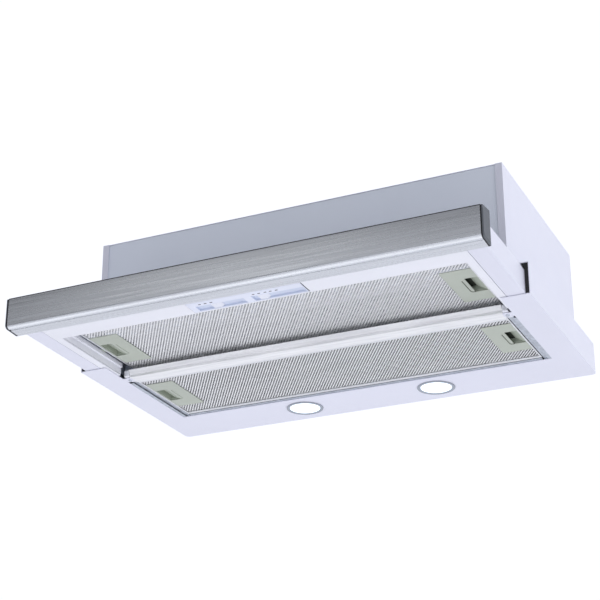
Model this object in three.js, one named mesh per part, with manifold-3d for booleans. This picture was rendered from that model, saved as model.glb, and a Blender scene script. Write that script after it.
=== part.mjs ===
// Telescopic under-cabinet range hood, 600 mm class, drawn with its front drawer pulled out.
// Units are millimetres. X runs to the right, Y from the room to the wall, Z up.
// While it is being built, y = 0 is the front face of the steel bar and z = 0 is just above the
// bottom plate. The finished group is moved so that its origin lies on the top panel, where the
// hood is screwed up to the cabinet floor.
import * as THREE from "three";
import { mergeVertices } from "three/addons/utils/BufferGeometryUtils.js";
import Module from "manifold-3d";

const wasm = await Module();
wasm.setup();

// ---------------------------------------------------------------- driving dimensions
const GAP = 0.3; // running gap between touching pieces
const SHEET = 0.8; // painted steel sheet
const HOOD_BACK = 450.4; // wall face of the hood
const BODY_FRONT = 166.9; // front edge of the fixed tray

const BOX_HALF = 272.9; // half width of the upper box
const BOX_FRONT = 165.9;
const BOX_TOP = 170.6;
const BOX_FLANGE = 9; // front flange of each side panel
const PANEL_RECESS = 1.6; // the front panel sits this far behind the flanges

const TRAY_HALF = 297; // half width of the tray round the bottom
const TRAY_TOP = 37.4;
const TRAY_BOTTOM = -2.4;
const TRAY_CORNER = 6; // radius of its rear corners
const OPENING_HALF = 260.9; // opening in the bottom plate
const OPENING_BACK = 373;

const BAR_HALF = 299;
const BAR_DEPTH = 24.6;
const BAR_TOP = 33.8;
const BAR_REAR_TOP = 36.4;
const BAR_BOTTOM = -4.5;
const BAR_REAR_BOTTOM = -5.4;
const BAR_BEND = 5;
const BAR_SHEET = 1;

const DRAWER_BOTTOM = -1.2;
const COVER_HALF = 291.3; // side covers of the drawer
const COVER_TOP = 36;
const COVER_SEAM = 269.2; // seam between side cover and control frame
const FRAME_INNER = 258.5; // inner edge of the control frame
const STRIP_BACK = 62; // rear edge of the control strip
const FRAME_BACK = 200;

const FILTER_HALF = 250;
const FILTER_HEIGHT = 9;
// Each grease filter: front edge, depth, underside and the line through its latches.
const FRONT_FILTER = { y: 74.5, depth: 151, z: 12, latchY: 150 };
const REAR_FILTER = { y: 229.5, depth: 137.5, z: -1, latchY: 291.5 };
const MESH_SHEET = 2;
const LATCH_X = 229; // centre of each latch plate
const LATCH_WIDE = 38;
const LATCH_LONG = 88;
const LATCH_WINDOW_WIDE = 15;
const LATCH_WINDOW_LONG = 40;
const BOLT_LENGTH = 5.5; // how far a latch bolt stands out of the filter, and its stroke
const LATCH_LIFT = 1.9; // underside of a latch above the underside of its filter

const CROSSBAR_FRONT = 205;
const CROSSBAR_BACK = 228.4;
const CROSSBAR_TOP = 7.4;
const CROSSBAR_HALF = 250;

const LAMP_X = 94.1;
const LAMP_Y = 408.5;
const LAMP_RADIUS = 25;
const LENS_RADIUS = 20.5;

const OUTLET_Y = 378;
const OUTLET_RADIUS = 59.5; // outside of the 120 mm duct collar
const OUTLET_TOP = 196;
const COLLAR_WALL = 2;
const COLLAR_FLANGE = 1.5; // the collar's flange lies under the top panel
const FLAP_Z = 184;

const FAN_Y = 326;
const FAN_Z = 92;
const FAN_RADIUS = 48;
const FAN_HALF = 52;
const SCROLL_HALF = 60;
const SCROLL_WALL = 2;
const BLADE_COUNT = 24;
const SHAFT_RADIUS = 4;
const MOTOR_X0 = 66;
const MOTOR_X1 = 112;
const MOTOR_RADIUS = 36;

const GLAND_X = -230;
const GLAND_Y = 420;
const TERMINAL = { x0: -256, x1: -196, y0: 300, y1: 380, z0: 60, z1: 92 };

const PANEL_X0 = -75; // insert with the two slide switches
const PANEL_X1 = 72.5;
const PANEL_Y0 = 33.6;
const PANEL_Y1 = 60.4;
const SLOT_Y0 = 45;
const SLOT_Y1 = 58.4;
const SLOTS = { light: [-67, -5], fan: [4.7, 70] };
const LIGHT_KNOB_X = -41;
const FAN_KNOB_X = 18.5;

const ORIGIN = [0, 300.4, BOX_TOP];

// ---------------------------------------------------------------- finishes
const finish = (color, roughness, metalness) =>
  new THREE.MeshStandardMaterial({ color, roughness, metalness });
const white = finish(0xe2e4f2, 0.45, 0.05);
const panelWhite = finish(0xcdd2e2, 0.5, 0.05);
const steel = finish(0x9fa1a6, 0.32, 0.95);
const capGrey = finish(0x5f6a78, 0.5, 0.2);
const zinc = finish(0xaeb4bc, 0.4, 0.85);
const aluminium = finish(0xc9cccf, 0.35, 0.9);
const whitePlastic = finish(0xe6e7f3, 0.4, 0);
const knobPlastic = finish(0xd4daf2, 0.35, 0);
const latchPlastic = finish(0xb2b8aa, 0.55, 0);
const blackPlastic = finish(0x1c1d1f, 0.5, 0);
const greyPlastic = finish(0x8b9096, 0.5, 0);
const motorSteel = finish(0x7d8288, 0.45, 0.8);
const lensGlass = finish(0xeaf4ff, 0.25, 0);

// ---------------------------------------------------------------- geometry helpers
// A closed three.js geometry as a solid.
function solid(geometry) {
  const bare = geometry.clone();
  bare.deleteAttribute("normal");
  bare.deleteAttribute("uv");
  const merged = mergeVertices(bare, 1e-4);
  const mesh = new wasm.Mesh({
    numProp: 3,
    vertProperties: merged.attributes.position.array,
    triVerts: new Uint32Array(merged.index.array),
  });
  return new wasm.Manifold(mesh);
}

// A box between two corners, whichever way round each pair of numbers is given.
function block(x0, x1, y0, y1, z0, z1) {
  const geometry = new THREE.BoxGeometry(Math.abs(x1 - x0), Math.abs(y1 - y0), Math.abs(z1 - z0));
  geometry.translate((x0 + x1) / 2, (y0 + y1) / 2, (z0 + z1) / 2);
  return solid(geometry);
}

const shapeOf = (points) => new THREE.Shape(points.map(([a, b]) => new THREE.Vector2(a, b)));

function extruded(shape, depth, curveSegments = 8) {
  return new THREE.ExtrudeGeometry(shape, { depth, bevelEnabled: false, curveSegments });
}

// Extrudes a shape drawn in Y and Z along X.
function alongX(shape, x0, x1) {
  const geometry = extruded(shape, x1 - x0);
  const turn = new THREE.Matrix4().set(0, 0, 1, x0, 1, 0, 0, 0, 0, 1, 0, 0, 0, 0, 0, 1);
  return solid(geometry.applyMatrix4(turn));
}

// Extrudes a shape drawn in X and Z along Y.
function alongY(shape, y0, y1) {
  const geometry = extruded(shape, y1 - y0);
  const turn = new THREE.Matrix4().set(1, 0, 0, 0, 0, 0, -1, y1, 0, 1, 0, 0, 0, 0, 0, 1);
  return solid(geometry.applyMatrix4(turn));
}

// Extrudes a shape drawn in X and Y along Z.
function alongZ(shape, z0, z1) {
  return solid(extruded(shape, z1 - z0).translate(0, 0, z0));
}

// Turns a closed profile of [radius, height] points round the Z axis through (x, y).
function turned(profile, x, y, segments = 40) {
  const points = profile.map(([r, z]) => new THREE.Vector2(r, z));
  const geometry = new THREE.LatheGeometry([...points, points[0]], segments);
  return solid(geometry.rotateX(Math.PI / 2).translate(x, y, 0));
}

// A round bar along X.
function rodX(radius, x0, x1, y, z, segments = 24) {
  const geometry = new THREE.CylinderGeometry(radius, radius, x1 - x0, segments);
  return solid(geometry.rotateZ(Math.PI / 2).translate((x0 + x1) / 2, y, z));
}

// A round bar along Z.
function rodZ(radius, x, y, z0, z1, segments = 24) {
  const geometry = new THREE.CylinderGeometry(radius, radius, z1 - z0, segments);
  return solid(geometry.rotateX(Math.PI / 2).translate(x, y, (z0 + z1) / 2));
}

const join = (first, ...others) => others.reduce((sum, next) => sum.add(next), first);
const cut = (first, ...others) => others.reduce((rest, next) => rest.subtract(next), first);

// The outline of a bent sheet: a path of points, and the same path offset to its left.
function bentSheet(path, thickness) {
  const normals = path.slice(1).map(([x, y], i) => {
    const [px, py] = path[i];
    const length = Math.hypot(x - px, y - py);
    return [-(y - py) / length, (x - px) / length];
  });
  const offset = path.map(([x, y], i) => {
    const before = normals[Math.max(i - 1, 0)];
    const after = normals[Math.min(i, normals.length - 1)];
    const scale = thickness / (1 + before[0] * after[0] + before[1] * after[1]);
    return [x + (before[0] + after[0]) * scale, y + (before[1] + after[1]) * scale];
  });
  return shapeOf([...path, ...offset.reverse()]);
}

// Points of an arc from one angle to another, in degrees.
function arc(cx, cy, radius, from, to, steps) {
  return Array.from({ length: steps + 1 }, (_, i) => {
    const angle = THREE.MathUtils.degToRad(from + ((to - from) * i) / steps);
    return [cx + radius * Math.cos(angle), cy + radius * Math.sin(angle)];
  });
}

const hood = new THREE.Group();
hood.position.set(-ORIGIN[0], -ORIGIN[1], -ORIGIN[2]);

// Adds a solid to the hood as a named mesh.
function place(name, body, material) {
  const { vertProperties, triVerts } = body.getMesh();
  const geometry = new THREE.BufferGeometry();
  geometry.setAttribute("position", new THREE.BufferAttribute(new Float32Array(vertProperties), 3));
  geometry.setIndex(new THREE.BufferAttribute(new Uint32Array(triVerts), 1));
  geometry.computeVertexNormals();
  const mesh = new THREE.Mesh(geometry, material);
  mesh.name = name;
  hood.add(mesh);
}

const SIDES = [
  ["left", -1],
  ["right", 1],
];

// ---------------------------------------------------------------- fixed body: sheet metal
// Right or left side panel, with a flange turned in at the front and one at the top.
function sidePanel(side) {
  const flange = 12;
  const outer = side * BOX_HALF;
  const low = TRAY_TOP + GAP;
  const top = BOX_TOP - SHEET - GAP;
  const wall = block(outer, outer - side * SHEET, BOX_FRONT, HOOD_BACK - SHEET - GAP, low, BOX_TOP);
  const front = block(outer, outer - side * BOX_FLANGE, BOX_FRONT, BOX_FRONT + SHEET, low, BOX_TOP);
  const shelf = block(outer, outer - side * flange, BOX_FRONT + 20, HOOD_BACK - 20, top - SHEET, top);
  const foot = block(outer, outer - side * flange, BOX_FRONT + 20, HOOD_BACK - 20, low, low + SHEET);
  return join(wall, front, shelf, foot);
}

// Recessed front panel, with a flange turned back along its top and its bottom.
function frontPanel() {
  const half = BOX_HALF - SHEET - GAP;
  const y = BOX_FRONT + PANEL_RECESS;
  const low = TRAY_TOP + GAP;
  const top = BOX_TOP - SHEET - GAP;
  const flange = 14;
  const face = block(-half, half, y, y + SHEET, low, top);
  const upper = block(-half, half, y, y + flange, top - SHEET, top);
  const lower = block(-half, half, y, y + flange, low, low + SHEET);
  return join(face, upper, lower);
}

// Wall-side panel, standing on the tray.
function backPanel() {
  const top = BOX_TOP - SHEET - GAP;
  return block(-BOX_HALF, BOX_HALF, HOOD_BACK - SHEET, HOOD_BACK, TRAY_TOP + GAP, top);
}

// Top panel with the round outlet hole and the hole for the cable gland.
function topPanel() {
  const half = BOX_HALF - SHEET - GAP;
  const plate = block(-half, half, BOX_FRONT + SHEET + GAP, HOOD_BACK, BOX_TOP - SHEET, BOX_TOP);
  const outlet = rodZ(OUTLET_RADIUS + 2 * GAP, 0, OUTLET_Y, BOX_TOP - 5, BOX_TOP + 5, 48);
  const cable = rodZ(8.3, GLAND_X, GLAND_Y, BOX_TOP - 5, BOX_TOP + 5, 16);
  return cut(plate, outlet, cable);
}

// Outline of the tray with its two rear corners rounded.
function trayOutline(half, front, back, radius) {
  return shapeOf([
    [-half, front],
    [half, front],
    ...arc(half - radius, back - radius, radius, 0, 90, 4),
    ...arc(-half + radius, back - radius, radius, 90, 180, 4),
  ]);
}

// Pressed tray round the bottom: outer wall, ledge under the upper box and bottom plate.
function lowerTray() {
  const back = HOOD_BACK - 0.6;
  const ledgeHalf = 262;
  const outer = alongZ(trayOutline(TRAY_HALF, BODY_FRONT, back, TRAY_CORNER), TRAY_BOTTOM, TRAY_TOP);
  const hollow = alongZ(
    trayOutline(TRAY_HALF - SHEET, BODY_FRONT - 5, back - SHEET, TRAY_CORNER - SHEET),
    TRAY_BOTTOM + SHEET,
    TRAY_TOP - SHEET,
  );
  const above = block(-ledgeHalf, ledgeHalf, 184, 438, TRAY_TOP - 5, TRAY_TOP + 5);
  const below = block(-OPENING_HALF, OPENING_HALF, 0, OPENING_BACK, TRAY_BOTTOM - 5, TRAY_BOTTOM + 5);
  const tabs = [-1, 1].map((side) => {
    const x = side * OPENING_HALF;
    return block(x + side, x - side * 12, 211, 223, TRAY_BOTTOM, TRAY_BOTTOM + SHEET);
  });
  const lamps = [-LAMP_X, LAMP_X].map((x) =>
    rodZ(LENS_RADIUS + 2 + GAP, x, LAMP_Y, TRAY_BOTTOM - 5, TRAY_BOTTOM + 5, 40),
  );
  return join(cut(outer, hollow, above, below, ...lamps), ...tabs);
}

// Extruded bar across the front of the rear filter, with a groove along its underside.
function crossbar() {
  const z = TRAY_BOTTOM + SHEET + GAP;
  const outline = shapeOf([
    [CROSSBAR_FRONT + 2, z],
    [CROSSBAR_FRONT + 8, z],
    [CROSSBAR_FRONT + 8.5, z + 0.7],
    [CROSSBAR_FRONT + 10.5, z + 0.7],
    [CROSSBAR_FRONT + 11, z],
    [CROSSBAR_BACK - 1.5, z],
    [CROSSBAR_BACK, z + 1.5],
    [CROSSBAR_BACK, CROSSBAR_TOP],
    [CROSSBAR_FRONT + 2, CROSSBAR_TOP],
    ...arc(CROSSBAR_FRONT + 2, CROSSBAR_TOP - 2, 2, 90, 180, 4).slice(1),
    ...arc(CROSSBAR_FRONT + 2, z + 2, 2, 180, 270, 4).slice(0, -1),
  ]);
  return alongX(outline, -CROSSBAR_HALF, CROSSBAR_HALF);
}

// Plastic end plug of the crossbar, standing on a tab of the tray.
function crossbarEnd(side) {
  const inner = side * (CROSSBAR_HALF + GAP);
  const outer = side * (FRAME_INNER - 1);
  const z = TRAY_BOTTOM + SHEET + GAP;
  return block(inner, outer, CROSSBAR_FRONT + 1, CROSSBAR_BACK - 1, z, CROSSBAR_TOP - 0.4);
}

// Angle along each side of the rear filter, which its latch bolts rest on.
function filterRail(side) {
  const inner = side * (FILTER_HALF + 0.9);
  const outer = side * (FRAME_INNER - 0.6);
  const y0 = CROSSBAR_BACK + GAP;
  const y1 = OPENING_BACK + 6;
  const top = REAR_FILTER.z + LATCH_LIFT - GAP;
  const shelf = block(inner, outer, y0, y1, top - 1, top);
  const web = block(outer - side, outer, y0, y1, top - 1, 9);
  const foot = block(inner, outer, OPENING_BACK, y1, TRAY_BOTTOM + SHEET + GAP, top);
  return join(shelf, web, foot);
}

// Fixed member of each drawer runner, hung from the tray's ledge.
function fixedRunner(side) {
  const path = [
    [side * 279, 10],
    [side * 271, 10],
    [side * 271, 30],
    [side * 279, 30],
  ];
  const channel = alongY(bentSheet(side > 0 ? path.reverse() : path, 1.2), 182, 440);
  const hanger = block(side * 271, side * 269.8, 182, 440, 10, TRAY_TOP - SHEET - GAP);
  return join(channel, hanger);
}

// ---------------------------------------------------------------- fixed body: air path
// Collar for the 120 mm duct, with its flange under the top panel.
function outletCollar() {
  const flangeTop = BOX_TOP - SHEET - GAP;
  const inner = OUTLET_RADIUS - COLLAR_WALL;
  return turned(
    [
      [inner, flangeTop - COLLAR_FLANGE],
      [OUTLET_RADIUS + 8, flangeTop - COLLAR_FLANGE],
      [OUTLET_RADIUS + 8, flangeTop],
      [OUTLET_RADIUS, flangeTop],
      [OUTLET_RADIUS, OUTLET_TOP],
      [inner, OUTLET_TOP],
    ],
    0,
    OUTLET_Y,
    48,
  );
}

// Rod that both damper flaps turn on.
function flapPin() {
  const half = OUTLET_RADIUS - COLLAR_WALL - GAP;
  return rodX(1.5, -half, half, OUTLET_Y, FLAP_Z, 12);
}

// Half-round damper flap with its barrel round the rod. It lies flat when the fan is off.
function damperFlap(side) {
  const radius = OUTLET_RADIUS - COLLAR_WALL - 1.2;
  const outline = shapeOf(arc(0, OUTLET_Y, radius, 8, 172, 16));
  const plate = alongZ(outline, FLAP_Z - 0.5, FLAP_Z + 0.5);
  const turnedPlate = side > 0 ? plate : plate.mirror([0, 1, 0]).translate([0, 2 * OUTLET_Y, 0]);
  const knuckles = [
    [side > 0 ? -26 : -12, side > 0 ? -16 : -2],
    [side > 0 ? 2 : 16, side > 0 ? 12 : 26],
  ];
  const barrels = knuckles.map(([x0, x1]) => rodX(3, x0, x1, OUTLET_Y, FLAP_Z, 16));
  const leaves = knuckles.map(([x0, x1]) =>
    block(x0, x1, OUTLET_Y, OUTLET_Y + side * 10, FLAP_Z - 0.5, FLAP_Z + 0.5),
  );
  const clear = block(-80, 80, OUTLET_Y - 3.6, OUTLET_Y + 3.6, FLAP_Z - 4, FLAP_Z + 4);
  const hole = rodX(1.8, -80, 80, OUTLET_Y, FLAP_Z, 12);
  return cut(join(cut(turnedPlate, clear), ...barrels, ...leaves), hole);
}

// Spiral outline of the scroll, drawn in Y and Z, with its mouth at the top.
function scrollOutline(inset) {
  const mouthFront = FAN_Y + 3 + inset;
  const mouthBack = FAN_Y + 110 - inset;
  const steps = 20;
  const spiral = Array.from({ length: steps + 1 }, (_, i) => {
    const turn = i / steps;
    const angle = THREE.MathUtils.degToRad(80 + 280 * turn);
    const radius = 58 + 10 * turn + 42 * turn ** 6 - inset;
    return [FAN_Y + radius * Math.cos(angle), FAN_Z + radius * Math.sin(angle)];
  });
  const top = BOX_TOP - SHEET - COLLAR_FLANGE - 2 * GAP + (inset ? 5 : 0);
  return shapeOf([[mouthFront, top], ...spiral, [mouthBack, FAN_Z + 8], [mouthBack, top]]);
}

// One half of the scroll, open along the split line at x = 0 and round its inlet.
function scrollHalf(side) {
  const wall = side * SCROLL_HALF;
  const [x0, x1] = side > 0 ? [GAP / 2, wall] : [wall, -GAP / 2];
  const [h0, h1] = side > 0 ? [-5, wall - SCROLL_WALL] : [wall + SCROLL_WALL, 5];
  const inlet = rodX(FAN_RADIUS - 8, -80, 80, FAN_Y, FAN_Z, 32);
  return cut(alongX(scrollOutline(0), x0, x1), alongX(scrollOutline(SCROLL_WALL), h0, h1), inlet);
}

// Double-inlet impeller: hub, centre disc, forward-curved blades and two end rings.
function impeller() {
  const rings = [-FAN_HALF, FAN_HALF - 2, -1].map((x) => {
    const outer = rodX(FAN_RADIUS, x, x + 2, FAN_Y, FAN_Z, 36);
    return x === -1 ? outer : cut(outer, rodX(FAN_RADIUS - 10, x - 1, x + 3, FAN_Y, FAN_Z, 36));
  });
  const blades = Array.from({ length: BLADE_COUNT }, (_, i) => {
    const blade = new THREE.BoxGeometry(2 * FAN_HALF - 2, 9, 1.2);
    blade.rotateX(THREE.MathUtils.degToRad(35));
    blade.translate(0, FAN_RADIUS - 5, 0);
    blade.rotateX((2 * Math.PI * i) / BLADE_COUNT);
    return solid(blade.translate(0, FAN_Y, FAN_Z));
  });
  const hub = rodX(9, -10, 14, FAN_Y, FAN_Z, 24);
  const bore = rodX(SHAFT_RADIUS + GAP, -20, 20, FAN_Y, FAN_Z, 16);
  return cut(join(...rings, ...blades, hub), bore);
}

// Shaft from the motor to the impeller's hub.
function motorShaft() {
  return rodX(SHAFT_RADIUS, -14, MOTOR_X1 + 8, FAN_Y, FAN_Z, 16);
}

// Motor can with a bearing boss at each end and a clear bore for the shaft.
function motor() {
  const can = rodX(MOTOR_RADIUS, MOTOR_X0 + 6, MOTOR_X1 - 4, FAN_Y, FAN_Z, 32);
  const boss = rodX(12, MOTOR_X0, MOTOR_X1, FAN_Y, FAN_Z, 24);
  const bore = rodX(SHAFT_RADIUS + GAP, MOTOR_X0 - 5, MOTOR_X1 + 5, FAN_Y, FAN_Z, 16);
  return cut(join(can, boss), bore);
}

// Three-legged plate that holds the motor in front of the inlet.
function motorBracket() {
  const ring = cut(
    rodX(22, SCROLL_HALF + 2, SCROLL_HALF + 4, FAN_Y, FAN_Z, 24),
    rodX(14, SCROLL_HALF, SCROLL_HALF + 6, FAN_Y, FAN_Z, 24),
  );
  const legs = [90, 210, 330].map((angle) => {
    const leg = new THREE.BoxGeometry(2, 33, 10);
    leg.translate(SCROLL_HALF + 3, 35.5, 0);
    leg.rotateX(THREE.MathUtils.degToRad(angle));
    const foot = new THREE.BoxGeometry(4 - GAP, 8, 10);
    foot.translate(SCROLL_HALF + 2 + GAP / 2, 48, 0);
    foot.rotateX(THREE.MathUtils.degToRad(angle));
    return join(solid(leg), solid(foot)).translate([0, FAN_Y, FAN_Z]);
  });
  return join(ring, ...legs);
}

// ---------------------------------------------------------------- fixed body: electrics
// Threaded gland in the top panel for the supply lead, with its locknut inside.
function cableGland() {
  const low = BOX_TOP - 14;
  const nutTop = BOX_TOP - SHEET - GAP;
  const body = rodZ(8, GLAND_X, GLAND_Y, low, BOX_TOP + 10, 20);
  const nut = rodZ(12, GLAND_X, GLAND_Y, nutTop - 5, nutTop, 6);
  const bore = rodZ(4.5, GLAND_X, GLAND_Y, low - 1, BOX_TOP + 12, 16);
  return cut(join(body, nut), bore);
}

// Open box for the mains terminals.
function terminalBox() {
  const { x0, x1, y0, y1, z0, z1 } = TERMINAL;
  const wall = 2;
  const outside = block(x0, x1, y0, y1, z0, z1);
  const inside = block(x0 + wall, x1 - wall, y0 + wall, y1 - wall, z0 + wall, z1 + 5);
  const entry = rodZ(5, x0 + 30, y1 - 20, z0 - 5, z0 + 5, 16);
  return cut(outside, inside, entry);
}

// Lid of the terminal box, with a rim that drops inside it.
function terminalCover() {
  const { x0, x1, y0, y1, z1 } = TERMINAL;
  const low = z1 + GAP;
  const lid = block(x0, x1, y0, y1, low, low + 2);
  const rim = block(x0 + 3, x1 - 3, y0 + 3, y1 - 3, low - 3, low + 1);
  return join(lid, rim);
}

// Run capacitor of the motor.
function capacitor() {
  return rodX(14, 130, 185, 372, 118, 24);
}

// Supply unit of the lamps, lying on the bottom plate.
function lampDriver() {
  return block(168, 248, 386, 430, TRAY_BOTTOM + SHEET + GAP, 18);
}

// Bezel and heat-sink can of each lamp, pressed up into the bottom plate.
function lampHousing(x) {
  const under = TRAY_BOTTOM - GAP;
  const neck = LENS_RADIUS + 2;
  return turned(
    [
      [LENS_RADIUS + GAP, under - 0.8],
      [LAMP_RADIUS - 1, under - 0.8],
      [LAMP_RADIUS, under],
      [neck, under],
      [neck, 16],
      [0, 16],
      [0, 14],
      [LENS_RADIUS + GAP, 14],
    ],
    x,
    LAMP_Y,
    40,
  );
}

// Domed lens of each lamp.
function lampLens(x) {
  const under = TRAY_BOTTOM - 0.6;
  return turned(
    [
      [0, under - 0.6],
      [LENS_RADIUS - 3, under - 0.2],
      [LENS_RADIUS, under],
      [LENS_RADIUS, under + 4],
      [0, under + 4],
    ],
    x,
    LAMP_Y,
    40,
  );
}

// ---------------------------------------------------------------- drawer
// Outline of the steel bar, from its rear top edge round the front to its rear bottom edge.
function barPath() {
  return [
    [BAR_DEPTH - GAP, BAR_REAR_TOP],
    ...arc(1.6, BAR_TOP - 1.6, 1.6, 95, 180, 3),
    ...arc(BAR_BEND, BAR_BOTTOM + BAR_BEND + 0.1, BAR_BEND, 180, 262, 5),
    [BAR_DEPTH - GAP, BAR_REAR_BOTTOM],
  ];
}

// Steel bar across the front, bent from one sheet.
function frontBar() {
  const half = BAR_HALF - 1.6 - GAP;
  return alongX(bentSheet(barPath(), BAR_SHEET), -half, half);
}

// Flat plastic cap on each end of the bar, with the same outline.
function barEndCap(side) {
  const outer = side * BAR_HALF;
  const [x0, x1] = [outer - side * 1.6, outer].sort((a, b) => a - b);
  return alongX(shapeOf(barPath()), x0, x1);
}

// Channel behind the bar that the bar, the side covers and the control frame are fixed to.
function barCarrier() {
  const path = [
    [BAR_DEPTH - GAP - 0.6, 29.5],
    [4.5, 29.5],
    [4.5, 0],
    [BAR_DEPTH - GAP - 0.6, 0],
  ];
  return alongX(bentSheet(path, 1.2), -BAR_HALF + 6, BAR_HALF - 6);
}

// Painted cover along each side of the drawer, with a chamfer along its top corner.
function sideCover(side) {
  const points = [
    [COVER_SEAM, DRAWER_BOTTOM],
    [COVER_HALF - 1, DRAWER_BOTTOM],
    [COVER_HALF, DRAWER_BOTTOM + 1],
    [COVER_HALF, COVER_TOP - 8.5],
    [COVER_HALF - 3.9, COVER_TOP],
    [COVER_HALF - 14, COVER_TOP],
  ];
  const path = points.map(([x, z]) => [side * x, z]);
  return alongY(bentSheet(side > 0 ? path : path.reverse(), 1), BAR_DEPTH + GAP, 290);
}

// Moulded frame: the control strip across the front and an arm down each side.
function controlFrame() {
  const half = COVER_SEAM - 0.6;
  const front = block(-half, half, BAR_DEPTH + GAP, STRIP_BACK, DRAWER_BOTTOM, 1);
  const lip = block(-FRAME_INNER, FRAME_INNER, STRIP_BACK - 1.2, STRIP_BACK, DRAWER_BOTTOM, 9);
  const arms = [-1, 1].map((side) =>
    block(side * half, side * FRAME_INNER, STRIP_BACK - 5, FRAME_BACK, DRAWER_BOTTOM, 0.4),
  );
  const window = block(PANEL_X0, PANEL_X1, PANEL_Y0, PANEL_Y1, DRAWER_BOTTOM - 5, 5);
  return cut(join(front, lip, ...arms), window);
}

// Insert that carries the two slide switches, with a sunk slot for each.
function controlPanel() {
  const plate = block(PANEL_X0 + GAP, PANEL_X1 - GAP, PANEL_Y0 + GAP, PANEL_Y1 - GAP, DRAWER_BOTTOM, 3);
  const pockets = Object.values(SLOTS).flatMap(([x0, x1]) => [
    block(x0, x1, SLOT_Y0, SLOT_Y1, DRAWER_BOTTOM - 1, 1.4),
    block(x0 + 3, x1 - 8, 50, 53, DRAWER_BOTTOM - 1, 5),
  ]);
  return cut(plate, ...pockets);
}

// Slide knob with a sloped finger face and a stem up through the slot.
function sliderKnob(x) {
  const low = DRAWER_BOTTOM + 0.1;
  const outline = shapeOf([
    [x - 6.5, low],
    [x + 3, low],
    [x + 6.5, 1],
    [x - 6.5, 1],
  ]);
  const cap = alongY(outline, SLOT_Y0 + 0.8, SLOT_Y1 - 0.8);
  const stem = block(x - 2, x + 2, 50.4, 52.6, 0.5, 6);
  return join(cap, stem);
}

// Switch body behind the control panel, with a slot over each knob's stem.
function switchModule() {
  const body = block(PANEL_X0 + 2, PANEL_X1 - 2, PANEL_Y0 + 4, PANEL_Y1 - 2, 3 + GAP, 22);
  const tracks = Object.values(SLOTS).map(([x0, x1]) => block(x0 + 2, x1 - 6, 49.5, 53.5, 2, 7));
  return cut(body, ...tracks);
}

// Zinc-plated angle on each arm of the control frame, with the catch for the front filter.
function catchRail(side) {
  const inner = side * FRAME_INNER;
  const outer = side * (COVER_SEAM - 1.5);
  const low = 0.4 + GAP;
  const shelf = block(inner, outer, STRIP_BACK + GAP, FRAME_BACK, low, low + 1);
  const web = block(inner, inner + side * 1.2, STRIP_BACK + GAP, FRAME_BACK, low, 9);
  const y = FRONT_FILTER.latchY;
  const tab = block(inner, inner + side * 1.2, y - 7, y + 7, 5, FRONT_FILTER.z + LATCH_LIFT - GAP);
  return join(shelf, web, tab);
}

// Moving member of each runner, fixed to the side cover and sliding in the fixed channel.
function movingRunner(side) {
  const wall = COVER_HALF - 1 - GAP;
  const path = [
    [side * wall, 13],
    [side * 273.4, 13],
    [side * 273.4, 27.5],
    [side * wall, 27.5],
  ];
  return alongY(bentSheet(side > 0 ? path.reverse() : path, 1.2), 40, 300);
}

// Tie across the back of the drawer, which holds the rear edge of the front filter.
function rearTie() {
  const y = FRONT_FILTER.y + FRONT_FILTER.depth + 1.2;
  const z = FRONT_FILTER.z;
  return join(
    block(-268, 268, y, y + 1.2, z - 1, z + 10),
    block(-268, 268, y, y + 9, z + 9, z + 10.2),
  );
}

// ---------------------------------------------------------------- grease filters
// Folded aluminium frame of a filter: a wall all round with narrow lips under its edges.
function filterFrame({ y, depth, z, latchY }) {
  const outside = block(-FILTER_HALF, FILTER_HALF, y, y + depth, z, z + FILTER_HEIGHT);
  const inside = block(
    -FILTER_HALF + 0.8,
    FILTER_HALF - 0.8,
    y + 0.8,
    y + depth - 0.8,
    z + 1,
    z + FILTER_HEIGHT + 5,
  );
  const light = block(-FILTER_HALF + 2, FILTER_HALF - 2, y + 5, y + depth - 5, z - 5, z + 5);
  const bolts = [-1, 1].map((side) =>
    block(side * (FILTER_HALF - 10), side * (FILTER_HALF + 5), latchY - 5.6, latchY + 5.6, z + 1, z + 4.9),
  );
  return cut(outside, inside, light, ...bolts);
}

// Grease mesh, a plate with a bay cut out at each end for the latch.
function filterMesh({ y, depth, z, latchY }) {
  const low = z + 1 + GAP;
  const plate = block(
    -FILTER_HALF + 1.1,
    FILTER_HALF - 1.1,
    y + 1.1,
    y + depth - 1.1,
    low,
    low + MESH_SHEET,
  );
  const bays = [-1, 1].map((side) =>
    block(
      side * (LATCH_X - LATCH_WIDE / 2 - GAP),
      side * (FILTER_HALF + 5),
      latchY - LATCH_LONG / 2 - GAP,
      latchY + LATCH_LONG / 2 + GAP,
      z - 5,
      z + 10,
    ),
  );
  return cut(plate, ...bays);
}

// Plastic latch plate flush with the mesh, with a window for the finger.
function latchPlate(side, { z, latchY }) {
  const x = side * LATCH_X;
  const plate = block(
    x - side * (LATCH_WIDE / 2),
    x + side * (LATCH_WIDE / 2),
    latchY - LATCH_LONG / 2,
    latchY + LATCH_LONG / 2,
    z + 0.4,
    z + 1.6,
  );
  const far = x + side * (LATCH_WIDE / 2 - 1.4);
  const window = block(
    far,
    far - side * LATCH_WINDOW_WIDE,
    latchY - LATCH_WINDOW_LONG / 2,
    latchY + LATCH_WINDOW_LONG / 2,
    z - 5,
    z + 5,
  );
  return cut(plate, window);
}

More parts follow.
